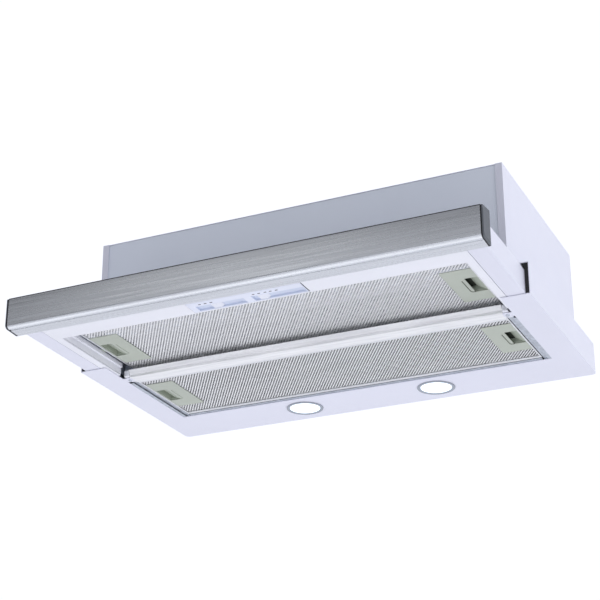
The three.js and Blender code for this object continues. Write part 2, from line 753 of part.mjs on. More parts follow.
// Sliding latch: a scooped finger cup above the window, with a bolt out through the frame.
function latchSlide(side, { z, latchY }) {
  const low = z + LATCH_LIFT;
  const near = side * 227;
  const far = side * 247;
  const cup = block(near, far, latchY - 23, latchY + 23, low, z + FILTER_HEIGHT - 0.4);
  const scoop = shapeOf([
    [side * 230.5, low - 1],
    [side * 230.5, z + 7.4],
    [side * 234, z + 7.4],
    [side * 246, low],
    [side * 246, low - 1],
  ]);
  const bolt = block(far - side, side * (FILTER_HALF + BOLT_LENGTH), latchY - 5, latchY + 5, low, z + 4.6);
  return join(cut(cup, alongY(scoop, latchY - 19, latchY + 19)), bolt);
}

// ---------------------------------------------------------------- assembly
place("top_panel", topPanel(), white);
place("back_panel", backPanel(), white);
place("front_panel", frontPanel(), panelWhite);
place("lower_tray", lowerTray(), white);
place("crossbar", crossbar(), aluminium);
place("outlet_collar", outletCollar(), blackPlastic);
place("flap_pin", flapPin(), steel);
place("damper_flap_front", damperFlap(-1), blackPlastic);
place("damper_flap_rear", damperFlap(1), blackPlastic);
place("scroll_left", scrollHalf(-1), greyPlastic);
place("scroll_right", scrollHalf(1), greyPlastic);
place("impeller", impeller(), blackPlastic);
place("motor_shaft", motorShaft(), steel);
place("motor", motor(), motorSteel);
place("motor_bracket", motorBracket(), zinc);
place("capacitor", capacitor(), whitePlastic);
place("terminal_box", terminalBox(), whitePlastic);
place("terminal_cover", terminalCover(), whitePlastic);
place("cable_gland", cableGland(), blackPlastic);
place("lamp_driver", lampDriver(), whitePlastic);
place("front_bar", frontBar(), steel);
place("bar_carrier", barCarrier(), zinc);
place("control_frame", controlFrame(), whitePlastic);
place("control_panel", controlPanel(), whitePlastic);
place("switch_module", switchModule(), blackPlastic);
place("light_slider", sliderKnob(LIGHT_KNOB_X), knobPlastic);
place("fan_slider", sliderKnob(FAN_KNOB_X), knobPlastic);
place("drawer_rear_tie", rearTie(), zinc);

for (const [word, side] of SIDES) {
  place(`side_panel_${word}`, sidePanel(side), white);
  place(`crossbar_end_${word}`, crossbarEnd(side), whitePlastic);
  place(`filter_rail_${word}`, filterRail(side), zinc);
  place(`fixed_runner_${word}`, fixedRunner(side), zinc);
  place(`lamp_housing_${word}`, lampHousing(side * LAMP_X), greyPlastic);
  place(`lamp_lens_${word}`, lampLens(side * LAMP_X), lensGlass);
  place(`bar_end_cap_${word}`, barEndCap(side), capGrey);
  place(`side_cover_${word}`, sideCover(side), white);
  place(`catch_rail_${word}`, catchRail(side), zinc);
  place(`moving_runner_${word}`, movingRunner(side), zinc);
}

const FILTERS = [
  ["front", FRONT_FILTER],
  ["rear", REAR_FILTER],
];
for (const [where, filter] of FILTERS) {
  place(`${where}_filter_frame`, filterFrame(filter), aluminium);
  place(`${where}_filter_mesh`, filterMesh(filter), aluminium);
  for (const [word, side] of SIDES) {
    place(`${where}_latch_plate_${word}`, latchPlate(side, filter), latchPlastic);
    place(`${where}_latch_${word}`, latchSlide(side, filter), latchPlastic);
  }
}

export default hood;
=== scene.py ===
"""Telescopic under-cabinet range hood, 600 mm class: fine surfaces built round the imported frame.

Sizes in the classes are hood millimetres: x runs right from the centre line, y runs from the
front face of the steel bar to the wall, and z runs up from just above the bottom plate.
HoodSpace turns them into metres of the frame.
"""

import logging
import math
from dataclasses import dataclass
from enum import Enum
from typing import Iterable, Sequence

import bmesh
import bpy
import numpy as np
from mathutils import Matrix, Vector


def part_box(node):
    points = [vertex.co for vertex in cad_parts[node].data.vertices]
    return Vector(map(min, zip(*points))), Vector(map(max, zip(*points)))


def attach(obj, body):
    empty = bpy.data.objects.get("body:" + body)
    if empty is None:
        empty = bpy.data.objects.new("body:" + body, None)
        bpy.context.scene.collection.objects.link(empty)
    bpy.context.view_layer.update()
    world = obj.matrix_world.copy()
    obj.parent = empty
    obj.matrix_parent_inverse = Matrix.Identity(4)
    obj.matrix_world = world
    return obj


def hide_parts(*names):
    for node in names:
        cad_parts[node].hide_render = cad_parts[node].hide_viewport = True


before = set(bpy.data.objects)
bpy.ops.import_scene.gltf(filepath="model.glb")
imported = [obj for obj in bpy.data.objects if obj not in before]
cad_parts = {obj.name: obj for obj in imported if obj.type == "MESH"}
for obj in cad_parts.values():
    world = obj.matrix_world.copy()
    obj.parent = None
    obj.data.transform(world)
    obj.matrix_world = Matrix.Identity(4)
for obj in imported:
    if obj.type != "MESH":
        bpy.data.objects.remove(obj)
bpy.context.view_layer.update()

Point = tuple[float, float, float]
Flat = tuple[float, float]
Span = tuple[float, float]
Colour = tuple[float, float, float]

SAME_POINT = 1e-7
WELD_GAP = 0.00001
FLAT_ANGLE = math.radians(0.8)
BEVEL_ANGLE = math.radians(32)
SHARP_ANGLE = math.radians(34)

log = logging.getLogger("range_hood")
logging.basicConfig(level=logging.INFO, format="%(name)s: %(message)s")


class Side(Enum):
    """The two ends of the hood, as words in node names and as signs of x."""

    LEFT = ("left", -1)
    RIGHT = ("right", 1)

    @property
    def word(self) -> str:
        """Word used in node names."""
        return self.value[0]

    @property
    def sign(self) -> int:
        """Sign of x on this side."""
        return self.value[1]

    def span(self, first: float, last: float) -> Span:
        """Span of x between two distances from the centre line."""
        low, high = sorted((self.sign * first, self.sign * last))
        return low, high

    def outline(self, points: Iterable[Flat]) -> list[Flat]:
        """Section whose first numbers are distances from the centre line."""
        return [(self.sign * x, height) for x, height in points]


# ------------------------------------------------------------------------ space and arcs
@dataclass(frozen=True)
class HoodSpace:
    """Hood millimetres, tied to the frame through the steel bar and the tray.

    The steel bar's front face is y = 0 and the tray's underside is z = tray_bottom.
    """

    tray_bottom: float = -2.4

    def to_metres(self, points: Iterable[Point]) -> np.ndarray:
        """Turns hood millimetres into metres of the frame.

        Args:
            points: points in hood millimetres.

        Returns:
            The same points in metres, one row each.
        """
        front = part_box("front_bar")[0].y
        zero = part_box("lower_tray")[0].z - self.tray_bottom / 1000
        return np.array(list(points), float) / 1000 + np.array([0.0, front, zero])


SPACE = HoodSpace()


def arc(centre: Flat, radius: float, start: float, end: float, steps: int = 6) -> list[Flat]:
    """Points along an arc.

    Args:
        centre: centre of the arc.
        radius: radius of the arc.
        start: first angle in degrees.
        end: last angle in degrees.
        steps: number of straight stretches.

    Returns:
        steps + 1 points.
    """
    angles = np.radians(np.linspace(start, end, steps + 1))
    return [(centre[0] + radius * math.cos(a), centre[1] + radius * math.sin(a)) for a in angles]


def round_rectangle(xs: Span, ys: Span, radius: float, steps: int = 5) -> list[Flat]:
    """Outline of a rectangle with round corners.

    Args:
        xs: lowest and highest x.
        ys: lowest and highest y.
        radius: corner radius.
        steps: straight stretches in each corner.

    Returns:
        The outline's points, in order.
    """
    (x0, x1), (y0, y1) = xs, ys
    corners = [(x1 - radius, y0 + radius, -90), (x1 - radius, y1 - radius, 0),
               (x0 + radius, y1 - radius, 90), (x0 + radius, y0 + radius, 180)]
    return [p for x, y, a in corners for p in arc((x, y), radius, a, a + 90, steps)]


def offset_sheet(path: Sequence[Flat], thickness: float) -> list[Flat]:
    """Outline of a bent sheet, from the path of one of its faces.

    Args:
        path: points along one face of the sheet.
        thickness: sheet thickness, laid to the left of the path.

    Returns:
        The closed outline of the sheet's section.
    """
    points = np.array(path, float)
    runs = np.diff(points, axis=0)
    normals = np.stack([-runs[:, 1], runs[:, 0]], axis=1) / np.linalg.norm(runs, axis=1)[:, None]
    before = np.vstack([normals[:1], normals])
    after = np.vstack([normals, normals[-1:]])
    scale = thickness / (1 + (before * after).sum(axis=1))
    other = points + (before + after) * scale[:, None]
    return [tuple(p) for p in points] + [tuple(p) for p in other[::-1]]


# ------------------------------------------------------------------------------ finishes
def add_ramp(tree: bpy.types.NodeTree, value: bpy.types.NodeSocket,
             stops: Sequence[tuple[float, Colour]]) -> bpy.types.ShaderNodeValToRGB:
    """Adds a colour ramp to a node tree.

    Args:
        tree: the node tree.
        value: what drives the ramp.
        stops: place and colour of each stop, in order.

    Returns:
        The ramp's node.
    """
    node = tree.nodes.new("ShaderNodeValToRGB")
    elements = node.color_ramp.elements
    while len(elements) < len(stops):
        elements.new(0.5)
    for element, (place, colour) in zip(elements, stops):
        element.position = place
        element.color = (*colour, 1)
    tree.links.new(value, node.inputs["Fac"])
    return node


def add_range(tree: bpy.types.NodeTree, value: bpy.types.NodeSocket, start: Span,
              end: Span) -> bpy.types.ShaderNodeMapRange:
    """Adds a node that maps one range to another.

    Args:
        tree: the node tree.
        value: what is mapped.
        start: the range that the value has.
        end: the range that it is given.

    Returns:
        The new node.
    """
    node = tree.nodes.new("ShaderNodeMapRange")
    for name, number in zip(("From Min", "From Max", "To Min", "To Max"), (*start, *end)):
        node.inputs[name].default_value = number
    tree.links.new(value, node.inputs["Value"])
    return node


class Graph:
    """A new material whose nodes are laid out with a few short calls."""

    def __init__(self, name: str) -> None:
        """Makes the material with one Principled shader.

        Args:
            name: name of the material.
        """
        self.material = bpy.data.materials.new(name)
        self.material.use_nodes = True
        self.tree = self.material.node_tree
        self.nodes = self.tree.nodes
        self.nodes.clear()
        self.shader = self.nodes.new("ShaderNodeBsdfPrincipled")
        output = self.nodes.new("ShaderNodeOutputMaterial")
        self.join(self.shader.outputs["BSDF"], output.inputs["Surface"])
        self.place = self.nodes.new("ShaderNodeTexCoord").outputs["Object"]

    def join(self, start: bpy.types.NodeSocket, end: bpy.types.NodeSocket) -> None:
        """Links one socket to another."""
        self.tree.links.new(start, end)

    def put(self, **values: object) -> None:
        """Sets the shader's own sockets, by names with spaces written as underscores."""
        for name, value in values.items():
            self.shader.inputs[name.replace("_", " ")].default_value = value

    def noise(self, scale: float, stretch: Point = (1, 1, 1),
              detail: float = 3.0) -> bpy.types.NodeSocket:
        """Noise in the object's own coordinates.

        Args:
            scale: features per metre.
            stretch: further scale along x, y and z.
            detail: octaves of the noise.

        Returns:
            The noise's value, from 0 to 1.
        """
        mapping = self.nodes.new("ShaderNodeMapping")
        mapping.inputs["Scale"].default_value = stretch
        self.join(self.place, mapping.inputs["Vector"])
        texture = self.nodes.new("ShaderNodeTexNoise")
        texture.inputs["Scale"].default_value = scale
        texture.inputs["Detail"].default_value = detail
        self.join(mapping.outputs["Vector"], texture.inputs["Vector"])
        return texture.outputs["Fac"]

    def cells(self, scale: float) -> bpy.types.NodeSocket:
        """Distance to the nearest cell centre of a Voronoi pattern with scale cells a metre."""
        texture = self.nodes.new("ShaderNodeTexVoronoi")
        texture.inputs["Scale"].default_value = scale
        self.join(self.place, texture.inputs["Vector"])
        return texture.outputs["Distance"]

    def tint(self, value: bpy.types.NodeSocket, low: Colour, high: Colour,
             span: Span = (0.3, 0.7), socket: str = "Base Color") -> None:
        """Colours the surface between two colours.

        Args:
            value: what drives the colour.
            low: colour at the low end.
            high: colour at the high end.
            span: values at which the two colours are reached.
            socket: the shader's socket that is coloured.
        """
        ramp = add_ramp(self.tree, value, list(zip(span, (low, high))))
        self.join(ramp.outputs["Color"], self.shader.inputs[socket])

    def rough(self, value: bpy.types.NodeSocket, low: float, high: float) -> None:
        """Varies the roughness.

        Args:
            value: what drives the roughness.
            low: roughness where the value is 0.3.
            high: roughness where the value is 0.7.
        """
        spread = add_range(self.tree, value, (0.3, 0.7), (low, high))
        self.join(spread.outputs["Result"], self.shader.inputs["Roughness"])

    def relief(self, value: bpy.types.NodeSocket, strength: float, depth: float) -> None:
        """Raises the surface a little.

        Args:
            value: height from 0 to 1.
            strength: how strongly the relief shows.
            depth: height of the relief in metres.
        """
        bump = self.nodes.new("ShaderNodeBump")
        bump.inputs["Strength"].default_value = strength
        bump.inputs["Distance"].default_value = depth
        self.join(value, bump.inputs["Height"])
        self.join(bump.outputs["Normal"], self.shader.inputs["Normal"])


def shade(colour: Colour, factor: float) -> Colour:
    """The colour made lighter or darker by a factor."""
    return tuple(min(1.0, c * factor) for c in colour)


@dataclass(frozen=True)
class PowderCoat:
    """Satin powder coat on sheet steel, with the faint orange peel of sprayed powder."""

    name: str
    colour: Colour
    peel: float = 620.0

    def make(self) -> bpy.types.Material:
        """Lays out the coat's nodes and returns the material."""
        graph = Graph(self.name)
        graph.put(Specular_IOR_Level=0.45, Coat_Weight=0.12, Coat_Roughness=0.25)
        graph.tint(graph.noise(5.0, detail=4.0), shade(self.colour, 0.975), shade(self.colour, 1.015))
        graph.rough(graph.noise(42.0), 0.36, 0.47)
        graph.relief(graph.noise(self.peel, detail=1.5), 0.12, 0.0002)
        return graph.material


@dataclass(frozen=True)
class BrushedSteel:
    """Stainless steel brushed along x, with long fine streaks."""

    name: str
    colour: Colour
    roughness: float = 0.3

    def make(self) -> bpy.types.Material:
        """Lays out the steel's nodes and returns the material."""
        graph = Graph(self.name)
        graph.put(Metallic=1.0)
        streaks = graph.noise(1.0, stretch=(5.0, 900.0, 900.0), detail=6.0)
        graph.tint(streaks, shade(self.colour, 0.95), shade(self.colour, 1.04), (0.36, 0.64))
        fine = graph.noise(1.0, stretch=(9.0, 500.0, 500.0))
        graph.rough(fine, self.roughness - 0.07, self.roughness + 0.1)
        graph.relief(streaks, 0.05, 0.0001)
        return graph.material


@dataclass(frozen=True)
class ZincPlate:
    """Zinc-plated sheet with its cloudy crystals."""

    name: str
    colour: Colour

    def make(self) -> bpy.types.Material:
        """Lays out the zinc's nodes and returns the material."""
        graph = Graph(self.name)
        graph.put(Metallic=0.9)
        graph.tint(graph.cells(150.0), shade(self.colour, 1.08), shade(self.colour, 0.86), (0.1, 0.7))
        graph.rough(graph.noise(90.0), 0.34, 0.52)
        graph.relief(graph.noise(300.0), 0.08, 0.0001)
        return graph.material


@dataclass(frozen=True)
class MillAluminium:
    """Rolled aluminium of the grease filters and the cross bar."""

    name: str
    colour: Colour
    roughness: float
    metal: float = 0.85

    def make(self) -> bpy.types.Material:
        """Lays out the aluminium's nodes and returns the material."""
        graph = Graph(self.name)
        graph.put(Metallic=self.metal)
        rolling = graph.noise(1.0, stretch=(14.0, 260.0, 260.0), detail=4.0)
        graph.tint(rolling, shade(self.colour, 0.9), shade(self.colour, 1.06), (0.35, 0.65))
        graph.rough(graph.noise(70.0), self.roughness - 0.05, self.roughness + 0.08)
        graph.relief(rolling, 0.06, 0.0001)
        return graph.material


@dataclass(frozen=True)
class MouldedPlastic:
    """Moulded plastic with a fine spark-eroded grain and slight flow marks."""

    name: str
    colour: Colour
    roughness: float
    grain: float = 0.1
    shine: float = 0.42

    def make(self) -> bpy.types.Material:
        """Lays out the plastic's nodes and returns the material."""
        graph = Graph(self.name)
        graph.put(Specular_IOR_Level=self.shine)
        flow = graph.noise(14.0, stretch=(0.4, 1, 1))
        graph.tint(flow, shade(self.colour, 0.96), shade(self.colour, 1.03))
        graph.rough(graph.noise(160.0), self.roughness - 0.05, self.roughness + 0.06)
        graph.relief(graph.noise(1500.0, detail=2.0), self.grain, 0.0001)
        return graph.material


@dataclass(frozen=True)
class LitLens:
    """Frosted lamp lens that glows, with the small prisms of a diffuser."""

    name: str
    colour: Colour
    glow: float

    def make(self) -> bpy.types.Material:
        """Lays out the lens's nodes and returns the material."""
        graph = Graph(self.name)
        graph.put(Emission_Strength=self.glow, Specular_IOR_Level=0.5)
        prisms = graph.cells(420.0)
        graph.tint(prisms, self.colour, shade(self.colour, 0.9), (0.1, 0.8))
        graph.rough(graph.noise(200.0), 0.2, 0.34)
        graph.relief(prisms, 0.3, 0.0004)
        graph.tint(prisms, self.colour, shade(self.colour, 0.86), (0.1, 0.8), "Emission Color")
        return graph.material


class Finish(Enum):
    """Every finish of the hood, by the record's slot and its recipe."""

    WHITE_PAINT = ("white_paint", PowderCoat("white_powder_coat", (0.82, 0.825, 0.92)))
    PANEL_PAINT = ("panel_paint", PowderCoat("panel_powder_coat", (0.86, 0.905, 1.0)))
    BAR_STEEL = ("brushed_steel", BrushedSteel("bar_brushed_steel", (0.79, 0.81, 0.84), 0.27))
    ZINC = ("zinc_steel", ZincPlate("zinc_plate", (0.62, 0.66, 0.72)))
    FRAME_ALUMINIUM = ("filter_aluminium",
                       MillAluminium("filter_frame_aluminium", (0.86, 0.87, 0.89), 0.32))
    MESH_ALUMINIUM = ("filter_aluminium",
                      MillAluminium("filter_mesh_aluminium", (0.99, 0.99, 0.995), 0.42, 0.1))
    BAR_ALUMINIUM = ("filter_aluminium",
                     MillAluminium("crossbar_aluminium", (0.95, 0.95, 0.96), 0.42, 0.3))
    # Upper mesh painted grey as shade of the hood's inside seen through the front filter.
    SHADED_INNER_MESH = ("filter_aluminium",
                  MillAluminium("inner_mesh_painted_shade", (0.55, 0.56, 0.57), 0.5, 0.3))
    # Upper mesh painted near black as shade of the closed box behind the rear filter.
    DARK_SHADE_MESH = ("filter_aluminium",
                 MillAluminium("deep_mesh_painted_shade", (0.03, 0.031, 0.033), 0.55, 0.3))
    CAP_PLASTIC = ("cap_plastic",
                   MouldedPlastic("moulded_cap_plastic", (0.15, 0.16, 0.175), 0.5, 0.1, 0.1))
    WHITE_PLASTIC = ("white_plastic",
                     MouldedPlastic("moulded_white_plastic", (0.9, 0.905, 0.955), 0.4, 0.06))
    PANEL_PLASTIC = ("white_plastic",
                     MouldedPlastic("insert_plastic", (0.83, 0.86, 0.97), 0.36, 0.06))
    # Trough plastic painted darker and bluer than the insert, as shade in the sunk slots.
    TROUGH_SHADE_PLASTIC = ("white_plastic",
                      MouldedPlastic("trough_painted_shade", (0.68, 0.735, 0.87), 0.4, 0.06))
    KNOB_PLASTIC = ("knob_plastic",
                    MouldedPlastic("moulded_knob_plastic", (0.86, 0.875, 0.95), 0.32, 0.04))
    LATCH_PLASTIC = ("latch_plastic",
                     MouldedPlastic("moulded_latch_plastic", (0.505, 0.54, 0.465), 0.5, 0.14))
    # Slider plastic painted darker than the cover, as shade in the finger window.
    LATCH_SLIDER = ("latch_plastic",
                    MouldedPlastic("latch_slider_painted_shade", (0.40, 0.44, 0.36), 0.55, 0.14))
    # Near-black hook line: painted shade of the shaded side of the hook groove.
    LATCH_LINE_SHADE = ("latch_plastic",
                  MouldedPlastic("latch_line_painted_shade", (0.12, 0.135, 0.1), 0.6, 0.1))
    # Near-black well round the slider: painted shade in the latch recess.
    LATCH_WELL = ("latch_plastic",
                  MouldedPlastic("latch_well_painted_shade", (0.035, 0.042, 0.03), 0.6, 0.14))
    BLACK_PLASTIC = ("black_plastic",
                     MouldedPlastic("moulded_black_plastic", (0.012, 0.012, 0.014), 0.5))
    GREY_PLASTIC = ("grey_plastic", MouldedPlastic("moulded_grey_plastic", (0.20, 0.215, 0.235), 0.5))
    MOTOR_STEEL = ("motor_steel", ZincPlate("enamelled_motor_steel", (0.30, 0.31, 0.33)))
    BEZEL = ("bezel", MouldedPlastic("bezel_plastic", (0.36, 0.39, 0.44), 0.35, 0.05))
    LENS = ("lamp_lens", LitLens("lit_lens", (0.84, 0.92, 1.0), 1.05))

    @property
    def slot(self) -> str:
        """Slot of the record that the finish belongs to."""
        return self.value[0]

    @property
    def material(self) -> bpy.types.Material:
        """The finish's material, made the first time that it is asked for."""
        recipe = self.value[1]
        return bpy.data.materials.get(recipe.name) or recipe.make()


# -------------------------------------------------------------------------------- makers
class Stock:
    """A piece in the making: points in hood millimetres, and faces."""

    def __init__(self) -> None:
        """Starts an empty piece."""
        self.points: list[Point] = []
        self.faces: list[tuple[int, ...]] = []

    def add(self, points: Iterable[Point], faces: Iterable[Sequence[int]]) -> "Stock":
        """Adds points and faces.

        Args:
            points: new points.
            faces: faces that count the new points from 0.

        Returns:
            The same piece, so that calls can follow each other.
        """
        base = len(self.points)
        self.points.extend(points)
        self.faces.extend(tuple(base + i for i in face) for face in faces)
        return self

    def prism(self, outline: Sequence[Flat], span: Span, axis: str) -> "Stock":
        """Adds a straight extrusion with closed ends.

        Args:
            outline: section in the two other axes, in the order x, y, z.
            span: where the extrusion starts and ends.
            axis: "x", "y" or "z".

        Returns:
            The same piece.
        """
        spot = "xyz".index(axis)
        count = len(outline)
        points = [(*p[:spot], s, *p[spot:]) for s in span for p in outline]
        sides = [(i, (i + 1) % count, count + (i + 1) % count, count + i) for i in range(count)]
        return self.add(points, [*sides, tuple(range(count))[::-1], tuple(range(count, 2 * count))])

    def block(self, xs: Span, ys: Span, zs: Span, radius: float = 0.0) -> "Stock":
        """Adds a block, with its upright corners rounded if a radius is given.

        Args:
            xs: lowest and highest x.
            ys: lowest and highest y.
            zs: lowest and highest z.
            radius: radius of the four upright corners.

        Returns:
            The same piece.
        """
        if radius:
            return self.prism(round_rectangle(xs, ys, radius), zs, "z")
        return self.prism([(xs[0], ys[0]), (xs[1], ys[0]), (xs[1], ys[1]), (xs[0], ys[1])], zs, "z")

    def plate(self, xs: Sequence[float], ys: Sequence[float], holes: set[tuple[int, int]],
              zs: Span) -> "Stock":
        """Adds a plate cut by straight lines, some of whose cells are open.

        Args:
            xs: the lines across x, in order.
            ys: the lines across y, in order.
            holes: column and row of each open cell.
            zs: lowest and highest z.

        Returns:
            The same piece.
        """
        nx, ny = len(xs), len(ys)
        points = [(x, y, z) for z in zs for y in ys for x in xs]
        solid = {(i, j) for i in range(nx - 1) for j in range(ny - 1)} - holes
        faces = []
        for i, j in sorted(solid):
            a, b, c, d = (j * nx + i, j * nx + i + 1, (j + 1) * nx + i + 1, (j + 1) * nx + i)
            up = nx * ny
            faces += [(a, d, c, b), (a + up, b + up, c + up, d + up)]
            edges = {(i, j - 1): (a, b), (i + 1, j): (b, c), (i, j + 1): (c, d), (i - 1, j): (d, a)}
            rim = [edge for cell, edge in edges.items() if cell not in solid]
            faces += [(p, q, q + up, p + up) for p, q in rim]
        return self.add(points, faces)

    def turned(self, profile: Sequence[Flat], centre: Flat, steps: int = 64,
               axis: str = "z") -> "Stock":
        """Adds a body of revolution.

        Args:
            profile: closed section as radius and height.
            centre: where the axis stands, in the two other axes.
            steps: divisions round the axis.
            axis: "z" for an upright axis or "x" for one that lies along x.

        Returns:
            The same piece.
        """
        count = len(profile)
        points = []
        for angle in np.linspace(0, 2 * math.pi, steps, endpoint=False):
            for radius, height in profile:
                u, v = (centre[0] + radius * math.cos(angle), centre[1] + radius * math.sin(angle))
                points.append((u, v, height) if axis == "z" else (height, u, v))
        rings = [(s * count, (s + 1) % steps * count) for s in range(steps)]
        pairs = [(i, (i + 1) % count) for i in range(count)]
        return self.add(points, [(here + i, here + j, there + j, there + i)
                                 for here, there in rings for i, j in pairs])

    def tube(self, path: Sequence[Point], radius: float, steps: int = 8) -> "Stock":
        """Adds a round bead along a path, with closed ends.

        Args:
            path: points along the bead.
            radius: radius of the bead.
            steps: sides of its section.

        Returns:
            The same piece.
        """
        line = np.array(path, float)
        ways = np.gradient(line, axis=0)
        points = []
        for spot, way in zip(line, ways / np.linalg.norm(ways, axis=1)[:, None]):
            across = np.cross(way, (0, 0, 1) if abs(way[2]) < 0.9 else (1, 0, 0))
            across /= np.linalg.norm(across)
            up = np.cross(across, way)
            for angle in np.linspace(0, 2 * math.pi, steps, endpoint=False):
                points.append(tuple(spot + radius * (math.cos(angle) * across + math.sin(angle) * up)))
        last = (len(line) - 1) * steps
        pairs = [(i, (i + 1) % steps) for i in range(steps)]
        faces = [(ring + i, ring + j, ring + steps + j, ring + steps + i)
                 for ring in range(0, last, steps) for i, j in pairs]
        return self.add(points, [*faces, tuple(range(steps))[::-1], tuple(range(last, last + steps))])

    def make(self, name: str, finish: Finish, body: str, edge: float = 0.3,
             stands_for: Sequence[str] = ()) -> None:
        """Turns the piece into a Blender object that rides on a body.

        Args:
            name: name of the piece.
            finish: its finish.
            body: CAD body that it moves with.
            edge: width of its rounded edges in millimetres, or 0 for none.
            stands_for: CAD nodes that it replaces.
        """
        mesh = bpy.data.meshes.new(name)
        mesh.from_pydata(SPACE.to_metres(self.points).tolist(), [], self.faces)
        work = bmesh.new()
        work.from_mesh(mesh)
        bmesh.ops.remove_doubles(work, verts=work.verts, dist=SAME_POINT)
        bmesh.ops.recalc_face_normals(work, faces=work.faces)
        work.to_mesh(mesh)
        work.free()
        mesh.shade_smooth()
        mesh.set_sharp_from_angle(angle=SHARP_ANGLE)
        mesh.materials.append(finish.material)
        piece = bpy.data.objects.new(name, mesh)
        bpy.context.scene.collection.objects.link(piece)
        if edge:
            soften(piece, edge)
        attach(piece, body)
        if stands_for:
            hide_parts(*stands_for)
        log.info("made %s, %d faces, on %s", name, len(mesh.polygons), body)


def soften(piece: bpy.types.Object, edge: float) -> None:
    """Rounds a piece's sharp edges and evens out its shading.

    Args:
        piece: the object.
        edge: width of the rounding in millimetres.
    """
    bevel = piece.modifiers.new("rounded_edges", "BEVEL")
    bevel.width = edge / 1000
    bevel.segments = 3
    bevel.limit_method = "ANGLE"
    bevel.angle_limit = BEVEL_ANGLE
    bevel.use_clamp_overlap = True
    shading = piece.modifiers.new("even_shading", "WEIGHTED_NORMAL")
    shading.weight = 80


def carry_over(node: str, finish: Finish, edge: float = 0.3) -> None:
    """Dresses a CAD node that stays: welded, its flats merged, its edges rounded.

    Args:
        node: name of the CAD node.
        finish: its finish.
        edge: width of its rounded edges in millimetres, or 0 for none.
    """
    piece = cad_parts[node]
    weld = piece.modifiers.new("weld", "WELD")
    weld.merge_threshold = WELD_GAP
    flats = piece.modifiers.new("merge_flats", "DECIMATE")
    flats.decimate_type = "DISSOLVE"
    flats.angle_limit = FLAT_ANGLE
    if edge:
        soften(piece, edge)
    if piece.material_slots:
        piece.material_slots[0].material = finish.material
    else:
        piece.data.materials.append(finish.material)
    log.info("dressed %s in %s", node, finish.name.lower())


def pan_screw(name: str, spot: Point, facing: Point, radius: float, body: str) -> None:
    """Makes a pan-head screw with a raised cross.

    Args:
        name: name of the piece.
        spot: middle of the seat under its head, in hood millimetres.
        facing: direction that the head looks in.
        radius: radius of the head.
        body: CAD body that it moves with.
    """
    height, tip, arm, web = radius * 0.55, 0.02, radius * 0.55, radius * 0.12
    dome = [(radius, 0.0), *arc((radius - height, 0.0), height, 10, 90, 5), (tip, height)]
    head = Stock().turned([*dome, (tip, 0.0)], (0.0, 0.0), 28)
    cross = [(-web, arm), (web, arm), (web, web), (arm, web), (arm, -web), (web, -web),
             (web, -arm), (-web, -arm), (-web, -web), (-arm, -web), (-arm, web), (-web, web)]
    head.prism(cross, (height * 0.5, height + 0.06), "z")
    turn = Vector((0, 0, 1)).rotation_difference(Vector(facing)).to_matrix()
    head.points = [tuple(turn @ Vector(p) + Vector(spot)) for p in head.points]
    head.make(name, Finish.ZINC, body, 0.0)


# ---------------------------------------------------------------------------- fixed body
@dataclass
class UpperBox:
    """Painted box that hangs under the cabinet: two sides, front, back and top."""

    top: float = 170.6
    screw_rows: tuple[float, float] = (184.0, 436.0)
    screw_columns: tuple[float, ...] = (-250.0, -120.0, 120.0, 250.0)
    screw_radius: float = 3.4

    def dress(self) -> None:
        """Paints the five panels."""
        for side in Side:
            carry_over(f"side_panel_{side.word}", Finish.WHITE_PAINT, 0.35)
        carry_over("front_panel", Finish.PANEL_PAINT, 0.3)
        carry_over("back_panel", Finish.WHITE_PAINT, 0.25)
        carry_over("top_panel", Finish.WHITE_PAINT, 0.25)

    def build(self) -> None:
        """Adds the screws that hold the top panel to the flanges."""
        spots = [(x, y) for y in self.screw_rows for x in self.screw_columns]
        for number, (x, y) in enumerate(spots, 1):
            pan_screw(f"top_screw_{number}", (x, y, self.top), (0, 0, 1), self.screw_radius, "housing")


@dataclass
class LowerTray:
    """Pressed tray round the bottom, with the rails that carry the rear filter and the drawer."""

    tab_x: float = 254.0
    tab_y: float = 217.0
    underside: float = -2.4
    screw_radius: float = 2.5
    ledge: tuple[Span, Span, Span] = ((-249.0, 249.0), (368.2, 376.0), (-1.5, 0.2))
    trim: tuple[Span, Span, Span] = ((256.2, 260.75), (229.4, 372.6), (-2.2, -1.5))
    brush_rows: Span = (167.4, 168.8)
    brush: tuple[Flat, ...] = (
        (291.8, -1.4), (296.1, -1.4), (296.1, 36.4), (288.1, 36.4), (291.8, 28.2))

    def dress(self) -> None:
        """Paints the tray and gives the rails and runners their zinc."""
        carry_over("lower_tray", Finish.WHITE_PAINT, 0.4)
        for side in Side:
            carry_over(f"filter_rail_{side.word}", Finish.ZINC, 0.2)
            carry_over(f"fixed_runner_{side.word}", Finish.ZINC, 0.25)

    def build(self) -> None:
        """Adds the rear ledge, and each side's trim, tab screw and brush in the runner slot."""
        Stock().block(*self.ledge).make("rear_filter_ledge", Finish.ZINC, "housing", 0.2)
        for side in Side:
            trim = Stock().block(side.span(*self.trim[0]), *self.trim[1:])
            trim.make(f"opening_trim_{side.word}", Finish.ZINC, "housing", 0.2)
            spot = (side.sign * self.tab_x, self.tab_y, self.underside)
            pan_screw(f"crossbar_screw_{side.word}", spot, (0, 0, -1), self.screw_radius, "housing")
            brush = Stock().prism(side.outline(self.brush), self.brush_rows, "y")
            brush.make(f"slot_brush_{side.word}", Finish.BLACK_PLASTIC, "housing", 0.0)


